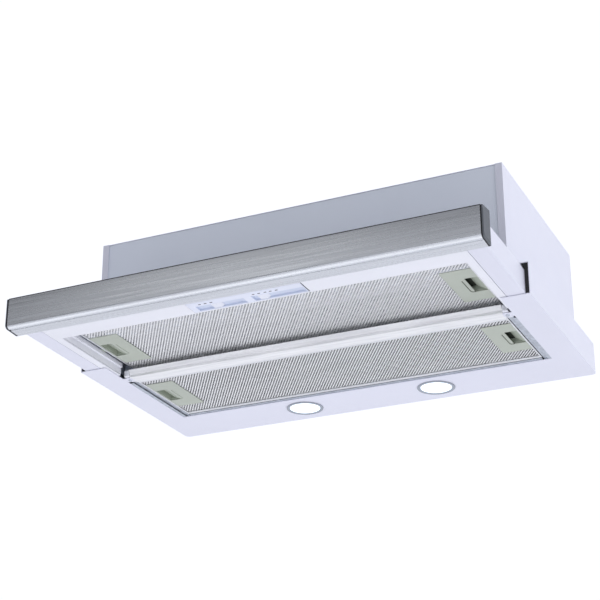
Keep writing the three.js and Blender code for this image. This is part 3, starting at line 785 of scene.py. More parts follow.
@dataclass
class Crossbar:
    """Extruded aluminium bar in front of the rear filter, with its two end plugs."""

    half: float = 250.0
    front: float = 205.0
    back: float = 228.4
    bottom: float = -2.3
    top: float = 7.4
    step_y: float = 209.0
    step_z: float = 1.5
    nose: float = 0.8
    plug: Span = (0.3, 7.2)
    rib: Span = (2.4, 3.6)

    def section(self) -> list[Flat]:
        """Outline of the bar across y and z: a sloped lip, an upright step and a flat underside."""
        front, back, low, nose = self.front, self.back, self.bottom, self.nose
        return [
            (front + 0.3, self.top - 1.2),
            (self.step_y - 0.9, self.step_z),
            (self.step_y, self.step_z),
            (self.step_y, low + 1.2),
            *arc((self.step_y - 0.1 + nose, low + nose), nose, 190, 270, 4),
            *arc((back - 1.5, low + 1.5), 1.5, 270, 360, 4),
            *arc((back - 0.5, self.top - 0.5), 0.5, 0, 90, 3),
            *arc((front + nose, self.top - nose), nose, 90, 180, 4),
        ]

    def build(self) -> None:
        """Builds the bar and its plugs."""
        bar = Stock().prism(self.section(), (-self.half, self.half), "x")
        bar.make("crossbar_extrusion", Finish.BAR_ALUMINIUM, "housing", 0.0, ["crossbar"])
        for side in Side:
            plug_x, rib_x = (side.span(self.half + first, self.half + last)
                             for first, last in (self.plug, self.rib))
            plug = Stock().block(plug_x, (self.front + 1, self.back - 1), (-1.2, self.top - 0.5), 1.2)
            plug.block(rib_x, (self.front + 0.3, self.front + 2), (-0.6, self.top - 1.2))
            name = f"crossbar_plug_{side.word}"
            plug.make(name, Finish.WHITE_PLASTIC, "housing", 0.3, [f"crossbar_end_{side.word}"])


@dataclass
class Lamp:
    """Recessed lamp: a domed bezel with its can, a glowing lens and a dark ring between them."""

    side: Side
    x: float = 94.1
    y: float = 408.5
    bezel_radius: float = 25.0
    lens_radius: float = 20.3
    seat: float = -2.7
    can_top: float = 16.0

    def build(self) -> None:
        """Builds the bezel with its can, and the lens."""
        centre = (self.side.sign * self.x, self.y)
        outer, inner, seat = self.bezel_radius, self.lens_radius + 0.5, self.seat
        bezel = [
            (inner, seat - 0.5),
            (inner + 0.5, seat - 0.9),
            (inner + 2.2, seat - 1.0),
            *arc((outer - 1.0, seat - 0.1), 0.9, 270, 360, 4),
            (outer - 0.4, seat),
            (inner + 1.7, seat),
            (inner + 1.7, self.can_top),
            (0.05, self.can_top),
            (0.05, self.can_top - 2),
            (inner, self.can_top - 2),
        ]
        word = self.side.word
        Stock().turned(bezel, centre, 96).make(
            f"lamp_bezel_{word}", Finish.BEZEL, "housing", 0.0, [f"lamp_housing_{word}"])
        dome = [(self.lens_radius * t, seat - 0.9 + 0.55 * t * t) for t in np.linspace(0.004, 0.97, 9)]
        lens = [*dome, (self.lens_radius, seat - 0.1), (self.lens_radius, 1.0), (0.08, 1.0)]
        Stock().turned(lens, centre, 96).make(
            f"lamp_glass_{word}", Finish.LENS, "housing", 0.0, [f"lamp_lens_{word}"])


@dataclass
class DuctOutlet:
    """Collar of the 120 mm duct with its bead and stop ribs, and the two damper flaps."""

    y: float = 378.0
    radius: float = 59.5
    wall: float = 2.0
    top: float = 196.0
    flange_top: float = 169.5
    flange: float = 1.5
    flange_width: float = 8.0
    bead: float = 190.5

    def build(self) -> None:
        """Builds the collar and dresses the flaps and their rod."""
        outer, inner = self.radius, self.radius - self.wall
        bottom = self.flange_top - self.flange
        profile = [
            (inner, bottom),
            (outer + self.flange_width, bottom),
            (outer + self.flange_width, self.flange_top),
            (outer, self.flange_top),
            *[(outer - 0.5, z) for z in (self.bead - 2.2, self.bead - 1.2)],
            (outer, self.bead - 0.6),
            (outer, self.bead + 0.6),
            *[(outer - 0.5, z) for z in (self.bead + 1.2, self.bead + 2.2)],
            *arc((outer - 1.1, self.top - 0.6), 0.6, 0, 90, 3),
            (inner + 0.5, self.top),
            (inner, self.top - 0.5),
        ]
        Stock().turned(profile, (0, self.y), 128).make(
            "duct_collar", Finish.BLACK_PLASTIC, "housing", 0.0, ["outlet_collar"])
        carry_over("flap_pin", Finish.BAR_STEEL, 0.1)
        carry_over("damper_flap_front", Finish.BLACK_PLASTIC, 0.2)
        carry_over("damper_flap_rear", Finish.BLACK_PLASTIC, 0.2)


@dataclass
class FanUnit:
    """Scroll, impeller and motor inside the upper box."""

    axis_y: float = 326.0
    axis_z: float = 92.0
    screw_x: float = 108.0
    screw_ring: float = 30.0
    screw_radius: float = 2.2
    scroll_wall: float = 60.0
    inlet: float = 40.0
    rim_width: float = 3.0
    rim_height: float = 1.6

    def dress(self) -> None:
        """Dresses the CAD pieces of the fan."""
        for side in Side:
            carry_over(f"scroll_{side.word}", Finish.GREY_PLASTIC, 0.3)
        carry_over("impeller", Finish.BLACK_PLASTIC, 0.1)
        carry_over("motor_shaft", Finish.BAR_STEEL, 0.3)
        carry_over("motor", Finish.MOTOR_STEEL, 0.6)
        carry_over("motor_bracket", Finish.ZINC, 0.2)

    def build(self) -> None:
        """Adds the rolled rim round each inlet and the motor's end screws."""
        for side in Side:
            start = side.sign * self.scroll_wall
            end = start + side.sign * self.rim_height
            rim = [(self.inlet, start), (self.inlet, end), (self.inlet + self.rim_width, start)]
            Stock().turned(rim, (self.axis_y, self.axis_z), 72, "x").make(
                f"inlet_rim_{side.word}", Finish.GREY_PLASTIC, "housing", 0.0)
        for number, angle in enumerate(np.radians([45, 135, 225, 315]), 1):
            spot = (self.screw_x, self.axis_y + self.screw_ring * math.cos(angle),
                    self.axis_z + self.screw_ring * math.sin(angle))
            pan_screw(f"motor_screw_{number}", spot, (1, 0, 0), self.screw_radius, "housing")


@dataclass
class Electrics:
    """Terminal box, capacitor, lamp supply and the gland for the lead."""

    gland: Flat = (-230.0, 420.0)
    gland_radius: float = 8.0
    bore: float = 4.5
    panel_top: float = 170.6
    rises: Span = (-14.0, 10.0)
    thread_start: float = 1.2
    thread_pitch: float = 0.7
    thread_rings: int = 9
    nut_rows: Span = (164.5, 169.5)
    nut_radius: float = 12.0
    cover_top: float = 94.3
    cover_corners: tuple[Span, Span] = ((-250.0, -202.0), (306.0, 374.0))
    cover_screw: float = 2.4

    def gland_profile(self) -> list[Flat]:
        """Section of the gland, with the thread of its cap as shallow rings."""
        low, top = (self.panel_top + rise for rise in self.rises)
        body, thread = self.gland_radius, self.panel_top + self.thread_start
        rings = [(body - 0.1 - 0.4 * (i % 2), thread + self.thread_pitch * i)
                 for i in range(self.thread_rings)]
        return [
            (self.bore, low),
            (body - 0.4, low),
            (body, low + 0.5),
            (body, self.panel_top + 0.6),
            *rings,
            (body - 1.2, top - 0.8),
            (body - 2.4, top),
            (self.bore + 0.6, top),
            (self.bore, top - 0.6),
        ]

    def build(self) -> None:
        """Builds the gland and dresses the boxes."""
        gland = Stock().turned(self.gland_profile(), self.gland, 48)
        (x, y), across = self.gland, self.nut_radius
        nut = [(x + across * math.cos(a), y + across * math.sin(a))
               for a in np.radians(np.arange(0, 360, 60))]
        gland.prism(nut, self.nut_rows, "z")
        gland.make("lead_gland", Finish.BLACK_PLASTIC, "housing", 0.0, ["cable_gland"])
        carry_over("terminal_box", Finish.WHITE_PLASTIC, 0.5)
        carry_over("terminal_cover", Finish.WHITE_PLASTIC, 0.5)
        carry_over("capacitor", Finish.WHITE_PLASTIC, 1.2)
        carry_over("lamp_driver", Finish.WHITE_PLASTIC, 1.0)
        spots = [(x, y) for x in self.cover_corners[0] for y in self.cover_corners[1]]
        for number, (x, y) in enumerate(spots, 1):
            spot = (x, y, self.cover_top)
            pan_screw(f"terminal_screw_{number}", spot, (0, 0, 1), self.cover_screw, "housing")


# -------------------------------------------------------------------------------- drawer
@dataclass
class FrontBar:
    """Bent steel bar across the front, its two end caps, the black bead and strips painted as shade in
    its gaps, and the channel behind.
    """

    half: float = 299.0
    depth: float = 24.3
    top: float = 33.8
    rear_top: float = 36.4
    bottom: float = -4.5
    rear_bottom: float = -5.4
    bend: float = 5.0
    top_bend: float = 1.6
    sheet: float = 1.0
    seam: Span = (1.7, 3.2)
    cap_skin: Span = (0.35, 1.7)
    cap_panel: Span = (0.0, 0.5)
    cap_field: float = 0.84
    # Radius of the black bead along the top, which is painted shade in the gap.
    gap_shade_radius: float = 1.15
    step: Span = (5.6, 8.4)
    step_depth: float = 0.8

    def path(self, with_step: bool) -> list[Flat]:
        """Outer face of the bar across y and z, from its rear top edge to its rear bottom edge.

        Args:
            with_step: whether the shallow line along the underside is drawn.

        Returns:
            Points along the face.
        """
        lower = arc((self.bend, self.bottom + self.bend + 0.1), self.bend, 180, 262, 14)
        slope = (self.rear_bottom - lower[-1][1]) / (self.depth - lower[-1][0])
        near, far = self.step
        under = [lower[-1][1] + slope * (y - lower[-1][0]) for y in (near, far)]
        line = [(near, under[0]), (near + 0.3, under[0] + self.step_depth),
                (far - 0.3, under[1] + self.step_depth), (far, under[1])]
        return [
            (self.depth, self.rear_top),
            *arc((self.top_bend, self.top - self.top_bend), self.top_bend, 95, 180, 6),
            *lower,
            *(line if with_step else []),
            (self.depth, self.rear_bottom),
        ]

    def end_cap(self, side: Side) -> None:
        """Adds the cap at one end and the black strip painted as shade in the gap beside it.

        Args:
            side: end of the bar.
        """
        seam, skin, panel = (side.span(self.half - near, self.half - far)
                             for near, far in (self.seam, self.cap_skin, self.cap_panel))
        outline = self.path(False)
        middle = np.mean(outline, axis=0)
        inner = [tuple(middle + (np.array(p) - middle) * self.cap_field) for p in outline]
        # A black strip fills the gap between skin and cap: painted shade in the gap.
        Stock().prism(outline, seam, "x").make(
            f"bar_seam_{side.word}", Finish.BLACK_PLASTIC, "drawer", 0.0)
        cap = Stock().prism(outline, skin, "x").prism(inner, panel, "x")
        cap.make(f"bar_cap_{side.word}", Finish.CAP_PLASTIC, "drawer", 0.25, [f"bar_end_cap_{side.word}"])

    def build(self) -> None:
        """Builds the bar, the black bead painted as shade in the gap along its top, and its two ends, and
        dresses the channel.
        """
        reach = (self.seam[1] - self.half, self.half - self.seam[1])
        section = offset_sheet(self.path(True), self.sheet)
        skin = Stock().prism(section, reach, "x")
        skin.make("bar_skin", Finish.BAR_STEEL, "drawer", 0.0, ["front_bar"])
        # A black bead along the top: painted shade in the gap between the bar and the panel above.
        centre = (self.gap_shade_radius + 0.05, self.top - self.gap_shade_radius * 0.55)
        bead = arc(centre, self.gap_shade_radius, 0, 360, 14)[:-1]
        Stock().prism(bead, reach, "x").make("bar_top_gap_shade", Finish.BLACK_PLASTIC, "drawer", 0.0)
        for side in Side:
            self.end_cap(side)
        carry_over("bar_carrier", Finish.ZINC, 0.3)


@dataclass
class DrawerSides:
    """Side covers, catch rails, moving runners, rear tie and the liners inside the drawer's arms."""

    arm_rows: Span = (62.3, 199.9)
    liner: tuple[Flat, ...] = (
        (258.45, 0.6), (258.1, 0.6), (258.1, 9.2), (256.3, 9.7), (256.3, 15.0), (258.45, 15.0))
    shield: tuple[Flat, ...] = (
        (267.7, 1.8), (267.7, 35.6), (251.0, 35.6), (251.0, 34.8), (266.9, 34.8), (266.9, 1.8))

    def build(self) -> None:
        """Adds the stepped white liner and the folded shield along each arm."""
        for side in Side:
            liner = Stock().prism(side.outline(self.liner), self.arm_rows, "y")
            liner.make(f"arm_liner_{side.word}", Finish.WHITE_PLASTIC, "drawer", 0.1)
            shield = Stock().prism(side.outline(self.shield), self.arm_rows, "y")
            shield.make(f"arm_shield_{side.word}", Finish.ZINC, "drawer", 0.2)

    def dress(self) -> None:
        """Paints the covers and gives the rails their zinc."""
        for side in Side:
            carry_over(f"side_cover_{side.word}", Finish.WHITE_PAINT, 0.45)
            carry_over(f"catch_rail_{side.word}", Finish.ZINC, 0.2)
            carry_over(f"moving_runner_{side.word}", Finish.ZINC, 0.25)
        carry_over("drawer_rear_tie", Finish.ZINC, 0.2)


@dataclass
class SwitchSlot:
    """One sunk slot of the insert with its slide knob.

    Attributes:
        name: what it switches.
        span: left and right end of the slot.
        knob_x: middle of the knob at rest.
        body: CAD body of the knob.
        marks: middle of each printed mark.
    """

    name: str
    span: Span
    knob_x: float
    body: str
    marks: tuple[float, ...]


@dataclass
class ControlStrip:
    """Moulded frame with the switch insert, two slide knobs and their printed marks."""

    insert: tuple[Span, Span] = ((-74.6, 71.0), (34.0, 60.1))
    under: float = -1.2
    sheet: float = 1.1
    slot_rows: Span = (45.0, 58.4)
    floor: float = 1.4
    floor_sheet: float = 1.0
    wall: float = 0.8
    slopes: Flat = (0.25, 5.5)
    knob: tuple[float, float, float] = (-6.5, 3.0, 6.4)
    knob_top: float = 1.25
    grip_start: float = -4.6
    grip_pitch: float = 2.3
    stem: tuple[Span, Span] = ((50.4, 52.6), (0.9, 5.9))
    end_seal: tuple[Span, Span] = ((0.1, 1.4), (-0.5, 1.0))
    front_seal: tuple[Span, Span] = ((-0.35, -0.05), (-0.9, 0.8))
    marks_y: float = 40.4
    mark: Flat = (1.7, 0.8)
    mark_rise: Span = (-0.05, 0.2)
    slots: tuple[SwitchSlot, ...] = (
        SwitchSlot("light", (-67.0, -5.0), -41.0, "light_knob", (-59.0, -51.5, -44.0)),
        SwitchSlot("fan", (4.7, 70.0), 18.5, "fan_knob", (10.0, 17.0, 25.0, 31.5, 39.0)),
    )

    def insert_plate(self) -> None:
        """Adds the plate of the insert with its two windows."""
        (x0, x1), (y0, y1) = self.insert
        xs = [x0, *[x for slot in self.slots for x in slot.span], x1]
        ys, windows = [y0, *self.slot_rows, y1], {(1, 1), (3, 1)}
        plate = Stock().plate(xs, ys, windows, (self.under, self.under + self.sheet))
        plate.make("switch_insert", Finish.PANEL_PLASTIC, "drawer", 0.2, ["control_panel"])

    def seals(self) -> None:
        """Adds the dark joints at the insert's right end and along its front edge."""
        (x0, x1), (y0, y1) = self.insert
        near, far = self.end_seal[0]
        Stock().block((x1 + near, x1 + far), (y0, y1), self.end_seal[1], 0.4).make(
            "insert_end_seal", Finish.BLACK_PLASTIC, "drawer", 0.0)
        near, far = self.front_seal[0]
        Stock().block((x0, x1), (y0 + near, y0 + far), self.front_seal[1]).make(
            "insert_front_seal", Finish.GREY_PLASTIC, "drawer", 0.0)

    def trough(self, slot: SwitchSlot) -> None:
        """Adds the trough over one window: a floor that slopes at its ends, and two walls, in plastic
        painted darker as shade in the sunk slot.

        Args:
            slot: the slot that it belongs to.
        """
        low, high = self.slot_rows
        (start, end), (left, right) = slot.span, self.slopes
        rim, floor, above = self.under + 0.5, self.floor, self.floor + self.floor_sheet
        outline = [(start, rim), (start + left, floor), (end - right, floor), (end, rim),
                   (end, rim + self.sheet), (end - right, above), (start + left, above),
                   (start, rim + self.sheet)]
        stock = Stock().prism(outline, (low - self.wall, high + self.wall), "y")
        for rows in ((low - self.wall, low - 0.02), (high + 0.02, high + self.wall)):
            stock.block((start, end), rows, (self.under + 0.6, floor + 0.9))
        stock.make(f"{slot.name}_slot_trough", Finish.TROUGH_SHADE_PLASTIC, "drawer", 0.1)

    def knob_cap(self, slot: SwitchSlot) -> None:
        """Adds a wedge-shaped slide knob with three grip lines and its stem.

        Args:
            slot: the slot that it slides in.
        """
        x, low, top = slot.knob_x, self.under + 0.15, self.knob_top
        back, ridge, tip = (x + reach for reach in self.knob)
        grip = [(x + self.grip_start + self.grip_pitch * i + dx, low + dz)
                for i in range(3) for dx, dz in ((0, 0), (0.35, 0.4), (0.7, 0))]
        outline = [(back, top), (back, low + 0.4), (back + 0.4, low), *grip, (ridge, low), (tip, top)]
        rows = (self.slot_rows[0] + 0.8, self.slot_rows[1] - 0.8)
        stock = Stock().prism(outline, rows, "y").block((x - 2, x + 2), *self.stem)
        stock.make(f"{slot.name}_knob_cap", Finish.KNOB_PLASTIC, slot.body, 0.2, [f"{slot.name}_slider"])

    def print_marks(self, slot: SwitchSlot) -> None:
        """Adds the row of plain marks beside one slot.

        Args:
            slot: the slot that they belong to.
        """
        half_x, half_y = self.mark
        rows = (self.marks_y - half_y, self.marks_y + half_y)
        heights = (self.under + self.mark_rise[0], self.under + self.mark_rise[1])
        for number, x in enumerate(slot.marks, 1):
            mark = Stock().block((x - half_x, x + half_x), rows, heights, 0.6)
            mark.make(f"{slot.name}_mark_{number}", Finish.BLACK_PLASTIC, "drawer", 0.0)

    def build(self) -> None:
        """Dresses the frame and the switch body, and builds the insert, seals, slots and knobs."""
        carry_over("control_frame", Finish.WHITE_PLASTIC, 0.35)
        carry_over("switch_module", Finish.BLACK_PLASTIC, 0.5)
        self.insert_plate()
        self.seals()
        for slot in self.slots:
            self.trough(slot)
            self.knob_cap(slot)
            self.print_marks(slot)


# ------------------------------------------------------------------------ grease filters
@dataclass(frozen=True)
class ExpandedMesh:
    """Expanded aluminium: broad strands that slant one way, joined by narrow ones the other way.

    Attributes:
        pitch: distance along x between strands that run the same way.
        row: half the length of a diamond along y.
        broad: width of the broad strands.
        narrow: width of the narrow strands.
        thick: thickness of the sheet.
        lean: how far one edge of a broad strand stands above the other.
        shortest: shortest piece of strand that is kept.
    """

    pitch: float
    row: float
    broad: float
    narrow: float
    thick: float
    lean: float
    shortest: float = 0.6

    def runs(self, start: float, slope: float, bands: Sequence[tuple[Span, float]]) -> list[Span]:
        """Parts of one slanting line that lie on the sheet.

        Args:
            start: x of the line at the front edge of the sheet.
            slope: how far it moves along x for each step along y.
            bands: rows of the sheet, each with half its width.

        Returns:
            First and last y of each part.
        """
        found: list[Span] = []
        edge = bands[0][0][0]
        for (low, high), half in bands:
            ends = sorted(edge + (side.sign * half - start) / slope for side in Side)
            first, last = max(low, ends[0]), min(high, ends[1])
            if last - first < self.shortest:
                continue
            if found and first - found[-1][1] < 1e-6:
                found[-1] = (found[-1][0], last)
            else:
                found.append((first, last))
        return found

    def sheet(self, z: float, ys: Span, half: float, bays: Span, bay_half: float) -> Stock:
        """A whole sheet of strands, which stops short at the latch bays.

        Args:
            z: lowest height of the sheet.
            ys: front and rear edge of the sheet.
            half: half its width.
            bays: front and rear edge of the latch bays.
            bay_half: half the width that is left between the bays.

        Returns:
            The sheet.
        """
        stock = Stock()
        bands = [((ys[0], bays[0]), half), (bays, bay_half), ((bays[1], ys[1]), half)]
        for way, wide, rise in ((-1, self.broad, self.lean), (1, self.narrow, 0.0)):
            slope = way * self.pitch / 2 / self.row
            drift = abs(slope) * (ys[1] - ys[0])
            for start in np.arange(-half - drift, half + drift, self.pitch):
                corners = ((-0.5, 0.0), (0.5, rise), (0.5, rise + self.thick), (-0.5, self.thick))
                for run in self.runs(start, slope, bands):
                    points = [(start + slope * (y - ys[0]) + dx * wide, y, z + dz)
                              for y in run for dx, dz in corners]
                    sides = [(i, (i + 1) % 4, 4 + (i + 1) % 4, 4 + i) for i in range(4)]
                    stock.add(points, [*sides, (3, 2, 1, 0), (4, 5, 6, 7)])
        return stock


@dataclass
class FilterLatch:
    """Latch at one end of a grease filter: cover, hook line, sprung slider and its well, painted near
    black as shade.

    Its spans across x are distances from the centre line, and its rises are heights above the
    filter's underside. A size that ends in half is taken each way from the latch's middle.

    Attributes:
        owner: filter that it belongs to, "front" or "rear".
        side: end of the filter.
        y: middle of the latch along y.
        bottom: height of the filter's underside.
    """

    owner: str
    side: Side
    y: float
    bottom: float
    x: float = 229.0
    wide: float = 38.0
    long: float = 88.0
    window: Flat = (15.0, 40.0)
    window_rim: float = 1.4
    cover_sheet: float = 1.2
    hook_gap: float = 4.4
    hook_bend: float = 3.6
    hook_half: float = 15.0
    hook_bead: float = 0.6
    rises: Span = (1.95, 8.4)
    ramp: Span = (233.6, 246.4)
    ramp_wall: Span = (246.2, 247.0)
    ramp_half: float = 19.4
    bolt: Span = (246.0, 255.4)
    bolt_half: float = 4.9
    bolt_rise: float = 4.5
    cheek: Span = (228.0, 246.9)
    cheek_rows: Span = (19.3, 22.4)
    well_outer: Span = (219.6, 248.6)
    well_inner: Span = (220.6, 247.8)
    well_half: float = 25.0
    well_end: float = 23.6
    bolt_gap: float = 6.0

    @property
    def edge(self) -> float:
        """Distance of the cover's outer edge from the centre line."""
        return self.x + self.wide / 2

    @property
    def heights(self) -> Span:
        """Lowest and highest z of the slider."""
        return self.bottom + self.rises[0], self.bottom + self.rises[1]

    def rows(self, first: float, last: float) -> Span:
        """Span of y between two distances from the latch's middle."""
        return self.y + first, self.y + last

    def cover(self) -> None:
        """Adds the latch plate with its finger window."""
        under, wide, long = self.bottom + 0.4, self.window[0], self.window[1] / 2
        lines = (self.edge - self.wide, self.edge - self.window_rim - wide,
                 self.edge - self.window_rim, self.edge)
        xs = sorted(self.side.sign * x for x in lines)
        ys = [self.y + d for d in (-self.long / 2, -long, long, self.long / 2)]
        plate = Stock().plate(xs, ys, {(1, 1)}, (under, under + self.cover_sheet))
        plate.make(f"{self.owner}_latch_cover_{self.side.word}", Finish.LATCH_PLASTIC,
                   f"{self.owner}_filter", 0.35, [f"{self.owner}_latch_plate_{self.side.word}"])

    def hook_line(self) -> None:
        """Adds the line beside the finger window, which hooks round at its rear end."""
        start = self.edge - self.window_rim - self.window[0] - self.hook_gap
        y0, y1 = self.rows(-self.hook_half, self.hook_half)
        bend = arc((start + self.hook_bend, y1), self.hook_bend, 180, 60, 8)
        line = [(start, y) for y in np.linspace(y0, y1, 6)[:-1]] + bend
        points = [(self.side.sign * x, y, self.bottom + 0.42) for x, y in line]
        # Only the right line is painted dark, as the shaded side of its groove; the left one takes the
        # slider's plastic, itself painted darker as shade.
        finish = Finish.LATCH_LINE_SHADE if self.side is Side.RIGHT else Finish.LATCH_SLIDER
        Stock().tube(points, self.hook_bead).make(
            f"{self.owner}_hook_line_{self.side.word}", finish, f"{self.owner}_filter", 0.0)

    def slider(self) -> None:
        """Adds the slider: sloped finger face, end wall, bolt and a cheek at each end."""
        (low, top), (left, right) = self.heights, self.side.span(*self.ramp)
        slope = [(left, top), (left + 2.6, top - 1.9), (right - 1.8, low), (right, low), (right, top)]
        rows = self.rows(-self.ramp_half, self.ramp_half)
        stock = Stock().prism(slope, rows, "y").block(self.side.span(*self.ramp_wall), rows, (low, top))
        bolt_rows, bolt_top = self.rows(-self.bolt_half, self.bolt_half), self.bottom + self.bolt_rise
        stock.block(self.side.span(*self.bolt), bolt_rows, (low + 0.05, bolt_top))
        near, far = self.cheek_rows
        for first, last in ((-far, -near), (near, far)):
            stock.block(self.side.span(*self.cheek), self.rows(first, last), (low, top))
        # The slider's plastic is painted darker than the cover's, as shade in the finger window.
        stock.make(f"{self.owner}_latch_slider_{self.side.word}", Finish.LATCH_SLIDER,
                   f"{self.owner}_latch_{self.side.word}", 0.25, [f"{self.owner}_latch_{self.side.word}"])

    def well(self) -> None:
        """Adds the box round the slider, open where the bolt passes, painted near black as shade in the
        recess.
        """
        (low, top), half = self.heights, self.well_half
        outer, inner = self.well_outer, self.well_inner
        walls = [
            (outer[0], inner[0], -half, half),
            (inner[1], outer[1], -half, -self.bolt_gap),
            (inner[1], outer[1], self.bolt_gap, half),
            (*outer, -half, -self.well_end),
            (*outer, self.well_end, half),
        ]
        well = Stock().block(self.side.span(*outer), self.rows(-half, half), (top + 0.15, top + 0.5))
        for near, far, first, last in walls:
            well.block(self.side.span(near, far), self.rows(first, last), (low - 0.25, top + 0.2))
        well.make(f"{self.owner}_latch_well_{self.side.word}", Finish.LATCH_WELL,
                  f"{self.owner}_filter", 0.0)

    def build(self) -> None:
        """Builds the latch's four pieces."""
        self.cover()
        self.hook_line()
        self.slider()
        self.well()


@dataclass
class GreaseFilter:
    """A grease filter: folded frame, two sheets of expanded mesh and a latch at each end.

    Attributes:
        name: "front" or "rear".
        front: y of its front edge.
        depth: its length along y.
        bottom: height of its underside.
        latch_y: middle of its latches along y.
        shade_backing: finish of the upper mesh, painted dark as shade of the hood's inside seen through
            it, darkest in the filter that has a closed box behind it.
    """

    name: str
    front: float
    depth: float
    bottom: float
    latch_y: float
    shade_backing: Finish = Finish.SHADED_INNER_MESH
    half: float = 248.6
    hem: float = 1.2
    bay_gap: Flat = (0.4, 0.5)
    lower_rise: float = 1.35
    upper_rise: float = 4.2
    lower_mesh: ExpandedMesh = ExpandedMesh(4.0, 3.08, 1.9, 0.5, 0.3, 0.4)
    upper_mesh: ExpandedMesh = ExpandedMesh(5.0, 3.85, 2.0, 1.6, 0.4, 0.0)

    def mesh(self, latch: FilterLatch) -> None:
        """Builds the two sheets of expanded mesh.

        Args:
            latch: either of the two latches, for which both sheets leave bays.
        """
        ys = (self.front + self.hem, self.front + self.depth - self.hem)
        gap_x, gap_y = self.bay_gap
        bays = latch.rows(-latch.long / 2 - gap_y, latch.long / 2 + gap_y)
        bay_half = latch.x - latch.wide / 2 - gap_x
        body, node = f"{self.name}_filter", f"{self.name}_filter_mesh"
        lower = self.lower_mesh.sheet(self.bottom + self.lower_rise, ys, self.half, bays, bay_half)
        lower.make(f"{self.name}_mesh_lower", Finish.MESH_ALUMINIUM, body, 0.0, [node])
        upper = self.upper_mesh.sheet(self.bottom + self.upper_rise, ys, self.half, bays, bay_half - 2)
        # The upper sheet takes a darkened finish: painted shade of what lies behind the filter.
        upper.make(f"{self.name}_mesh_upper", self.shade_backing, body, 0.0)

    def build(self) -> None:
        """Builds the mesh and the latches, and dresses the frame."""
        latches = [FilterLatch(self.name, side, self.latch_y, self.bottom) for side in Side]
        self.mesh(latches[0])
        carry_over(f"{self.name}_filter_frame", Finish.FRAME_ALUMINIUM, 0.2)
        for latch in latches:
            latch.build()


# -------------------------------------------------------------------------------- studio
@dataclass(frozen=True)
class SoftBox:
    """One soft light: where it hangs and faces, in metres, its size, its watts and its tint."""

    name: str
    spot: Point
    aim: Point
    size: Flat
    power: float
    tint: Colour

    def hang(self) -> None:
        """Hangs the light, out of the camera's view."""
        data = bpy.data.lights.new(self.name, "AREA")
        data.shape = "RECTANGLE"
        data.size, data.size_y = self.size
        data.energy = self.power
        data.color = self.tint
        light = bpy.data.objects.new(self.name, data)
        light.location = self.spot
        facing = Vector(self.aim) - Vector(self.spot)
        light.rotation_euler = facing.to_track_quat("-Z", "Y").to_euler()
        light.visible_camera = False
        bpy.context.scene.collection.objects.link(light)


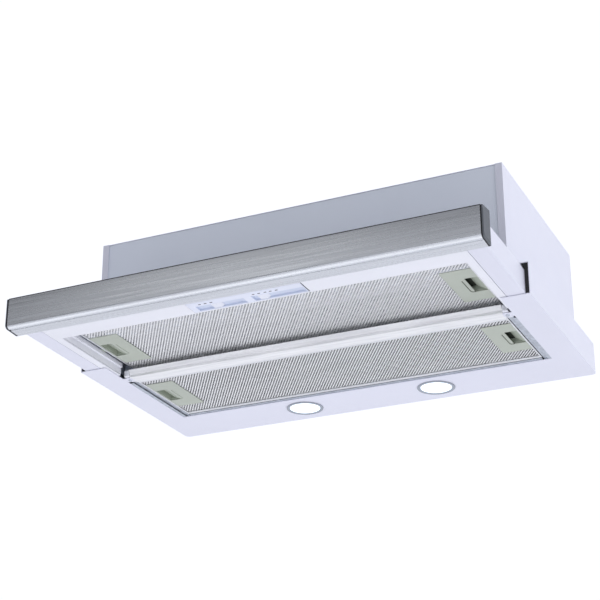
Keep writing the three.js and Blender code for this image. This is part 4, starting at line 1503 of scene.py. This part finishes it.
@dataclass
class Studio:
    """Plain pale floor, soft lights all round and the camera."""

    floor_z: float = -1.3
    floor_size: float = 9.0
    floor_cells: int = 24
    rim_start: float = 0.8
    rim_rise: float = 0.25
    eye: Point = (0.75890, -1.75461, -0.90677)
    right: Point = (0.90763127, 0.41976682, -0.00113549)
    up: Point = (0.16861253, -0.36209873, 0.91676296)
    lens: float = 96.55
    sensor: float = 36.0
    glow: tuple[Flat, ...] = (
        (0.0, 1.1), (0.42, 1.2), (0.5, 2.1), (0.63, 2.1), (0.80, 0.8), (1.0, 0.8))
    across: tuple[Span, Span] = ((-0.7, 0.3), (0.09, 0.43))
    depth: Span = (-0.62, 0.2)
    wall_level: float = 1.06
    room_tint: Colour = (0.955, 0.975, 1.05)
    lights: tuple[SoftBox, ...] = (
        SoftBox("under_light", (0.0, -0.1, -1.22), (0.0, 0.0, 0.0), (2.4, 1.6), 4.3,
                (0.975, 0.98, 1.0)),
        SoftBox("front_light", (-1.15, -2.45, 1.0), (0.0, -0.3, -0.15), (0.8, 0.9), 0.9,
                (0.98, 0.99, 1.0)),
        SoftBox("side_light", (2.4, -0.4, -0.35), (0.25, 0.0, -0.1), (1.2, 1.8), 3.1,
                (0.93, 0.945, 1.0)),
    )

    def camera(self) -> None:
        """Places the camera below and in front of the hood, looking up at it."""
        data = bpy.data.cameras.new("camera")
        data.lens = self.lens
        data.sensor_width = self.sensor
        camera = bpy.data.objects.new("camera", data)
        right, up = Vector(self.right).normalized(), Vector(self.up).normalized()
        back = right.cross(up)
        turn = Matrix((right, up, back)).transposed().to_4x4()
        camera.matrix_world = Matrix.Translation(self.eye) @ turn
        bpy.context.scene.collection.objects.link(camera)
        bpy.context.scene.camera = camera

    def floor(self) -> None:
        """Lays the floor, with its rim rolled up a little."""
        work = bmesh.new()
        cells, half = self.floor_cells, self.floor_size / 2
        bmesh.ops.create_grid(work, x_segments=cells, y_segments=cells, size=half)
        for vertex in work.verts:
            reach = max(abs(vertex.co.x), abs(vertex.co.y)) / half
            vertex.co.z = self.rim_rise * max(0.0, reach - self.rim_start) ** 2
        mesh = bpy.data.meshes.new("floor")
        work.to_mesh(mesh)
        work.free()
        graph = Graph("floor_paper")
        graph.tint(graph.noise(1.2), (0.91, 0.91, 0.92), (0.94, 0.94, 0.95))
        graph.rough(graph.noise(8.0), 0.7, 0.8)
        mesh.materials.append(graph.material)
        floor = bpy.data.objects.new("floor", mesh)
        floor.location = (0, 0, self.floor_z)
        bpy.context.scene.collection.objects.link(floor)

    def room(self) -> None:
        """Lights the room: white towards the wall, dimmer on the side that the steel bar faces."""
        world = bpy.data.worlds.new("room")
        bpy.context.scene.world = world
        world.use_nodes = True
        tree = world.node_tree
        nodes, links = tree.nodes, tree.links
        nodes.clear()
        place = nodes.new("ShaderNodeTexCoord")
        split = nodes.new("ShaderNodeSeparateXYZ")
        links.new(place.outputs["Generated"], split.inputs["Vector"])
        across = add_range(tree, split.outputs["X"], *self.across)
        height = add_range(tree, split.outputs["Z"], (-1.0, 1.0), (0.0, 1.0))
        stops = [(spot, (grey, grey, grey)) for spot, grey in self.glow]
        glow = add_ramp(tree, height.outputs["Result"], stops)
        glow.color_ramp.interpolation = "EASE"
        dim = nodes.new("ShaderNodeMath")
        dim.operation = "MULTIPLY"
        links.new(across.outputs["Result"], dim.inputs[0])
        links.new(glow.outputs["Color"], dim.inputs[1])
        depth = add_range(tree, split.outputs["Y"], self.depth, (0.0, 1.0))
        depth.interpolation_type = "SMOOTHSTEP"
        level = nodes.new("ShaderNodeMix")
        level.data_type = "FLOAT"
        level.inputs["B"].default_value = self.wall_level
        links.new(depth.outputs["Result"], level.inputs["Factor"])
        links.new(dim.outputs["Value"], level.inputs["A"])
        background = nodes.new("ShaderNodeBackground")
        background.inputs["Color"].default_value = (*self.room_tint, 1)
        links.new(level.outputs["Result"], background.inputs["Strength"])
        output = nodes.new("ShaderNodeOutputWorld")
        links.new(background.outputs["Background"], output.inputs["Surface"])

    def build(self) -> None:
        """Sets up the room, the floor, the soft boxes and the camera."""
        self.room()
        self.floor()
        for light in self.lights:
            light.hang()
        bpy.context.scene.view_settings.view_transform = "Standard"
        self.camera()


def main() -> None:
    """Builds the hood piece by piece; each new piece logs its face count."""
    Studio().build()
    box, tray = UpperBox(), LowerTray()
    box.dress()
    box.build()
    tray.dress()
    tray.build()
    Crossbar().build()
    for side in Side:
        Lamp(side).build()
    DuctOutlet().build()
    fan = FanUnit()
    fan.dress()
    fan.build()
    Electrics().build()
    FrontBar().build()
    sides = DrawerSides()
    sides.dress()
    sides.build()
    ControlStrip().build()
    GreaseFilter("front", front=74.5, depth=151.0, bottom=12.0, latch_y=150.0).build()
    # The rear filter's upper mesh is near black: painted shade of the closed box behind it.
    GreaseFilter("rear", front=229.5, depth=137.5, bottom=-1.0, latch_y=291.5,
                 shade_backing=Finish.DARK_SHADE_MESH).build()


if __name__ == "__main__":
    main()
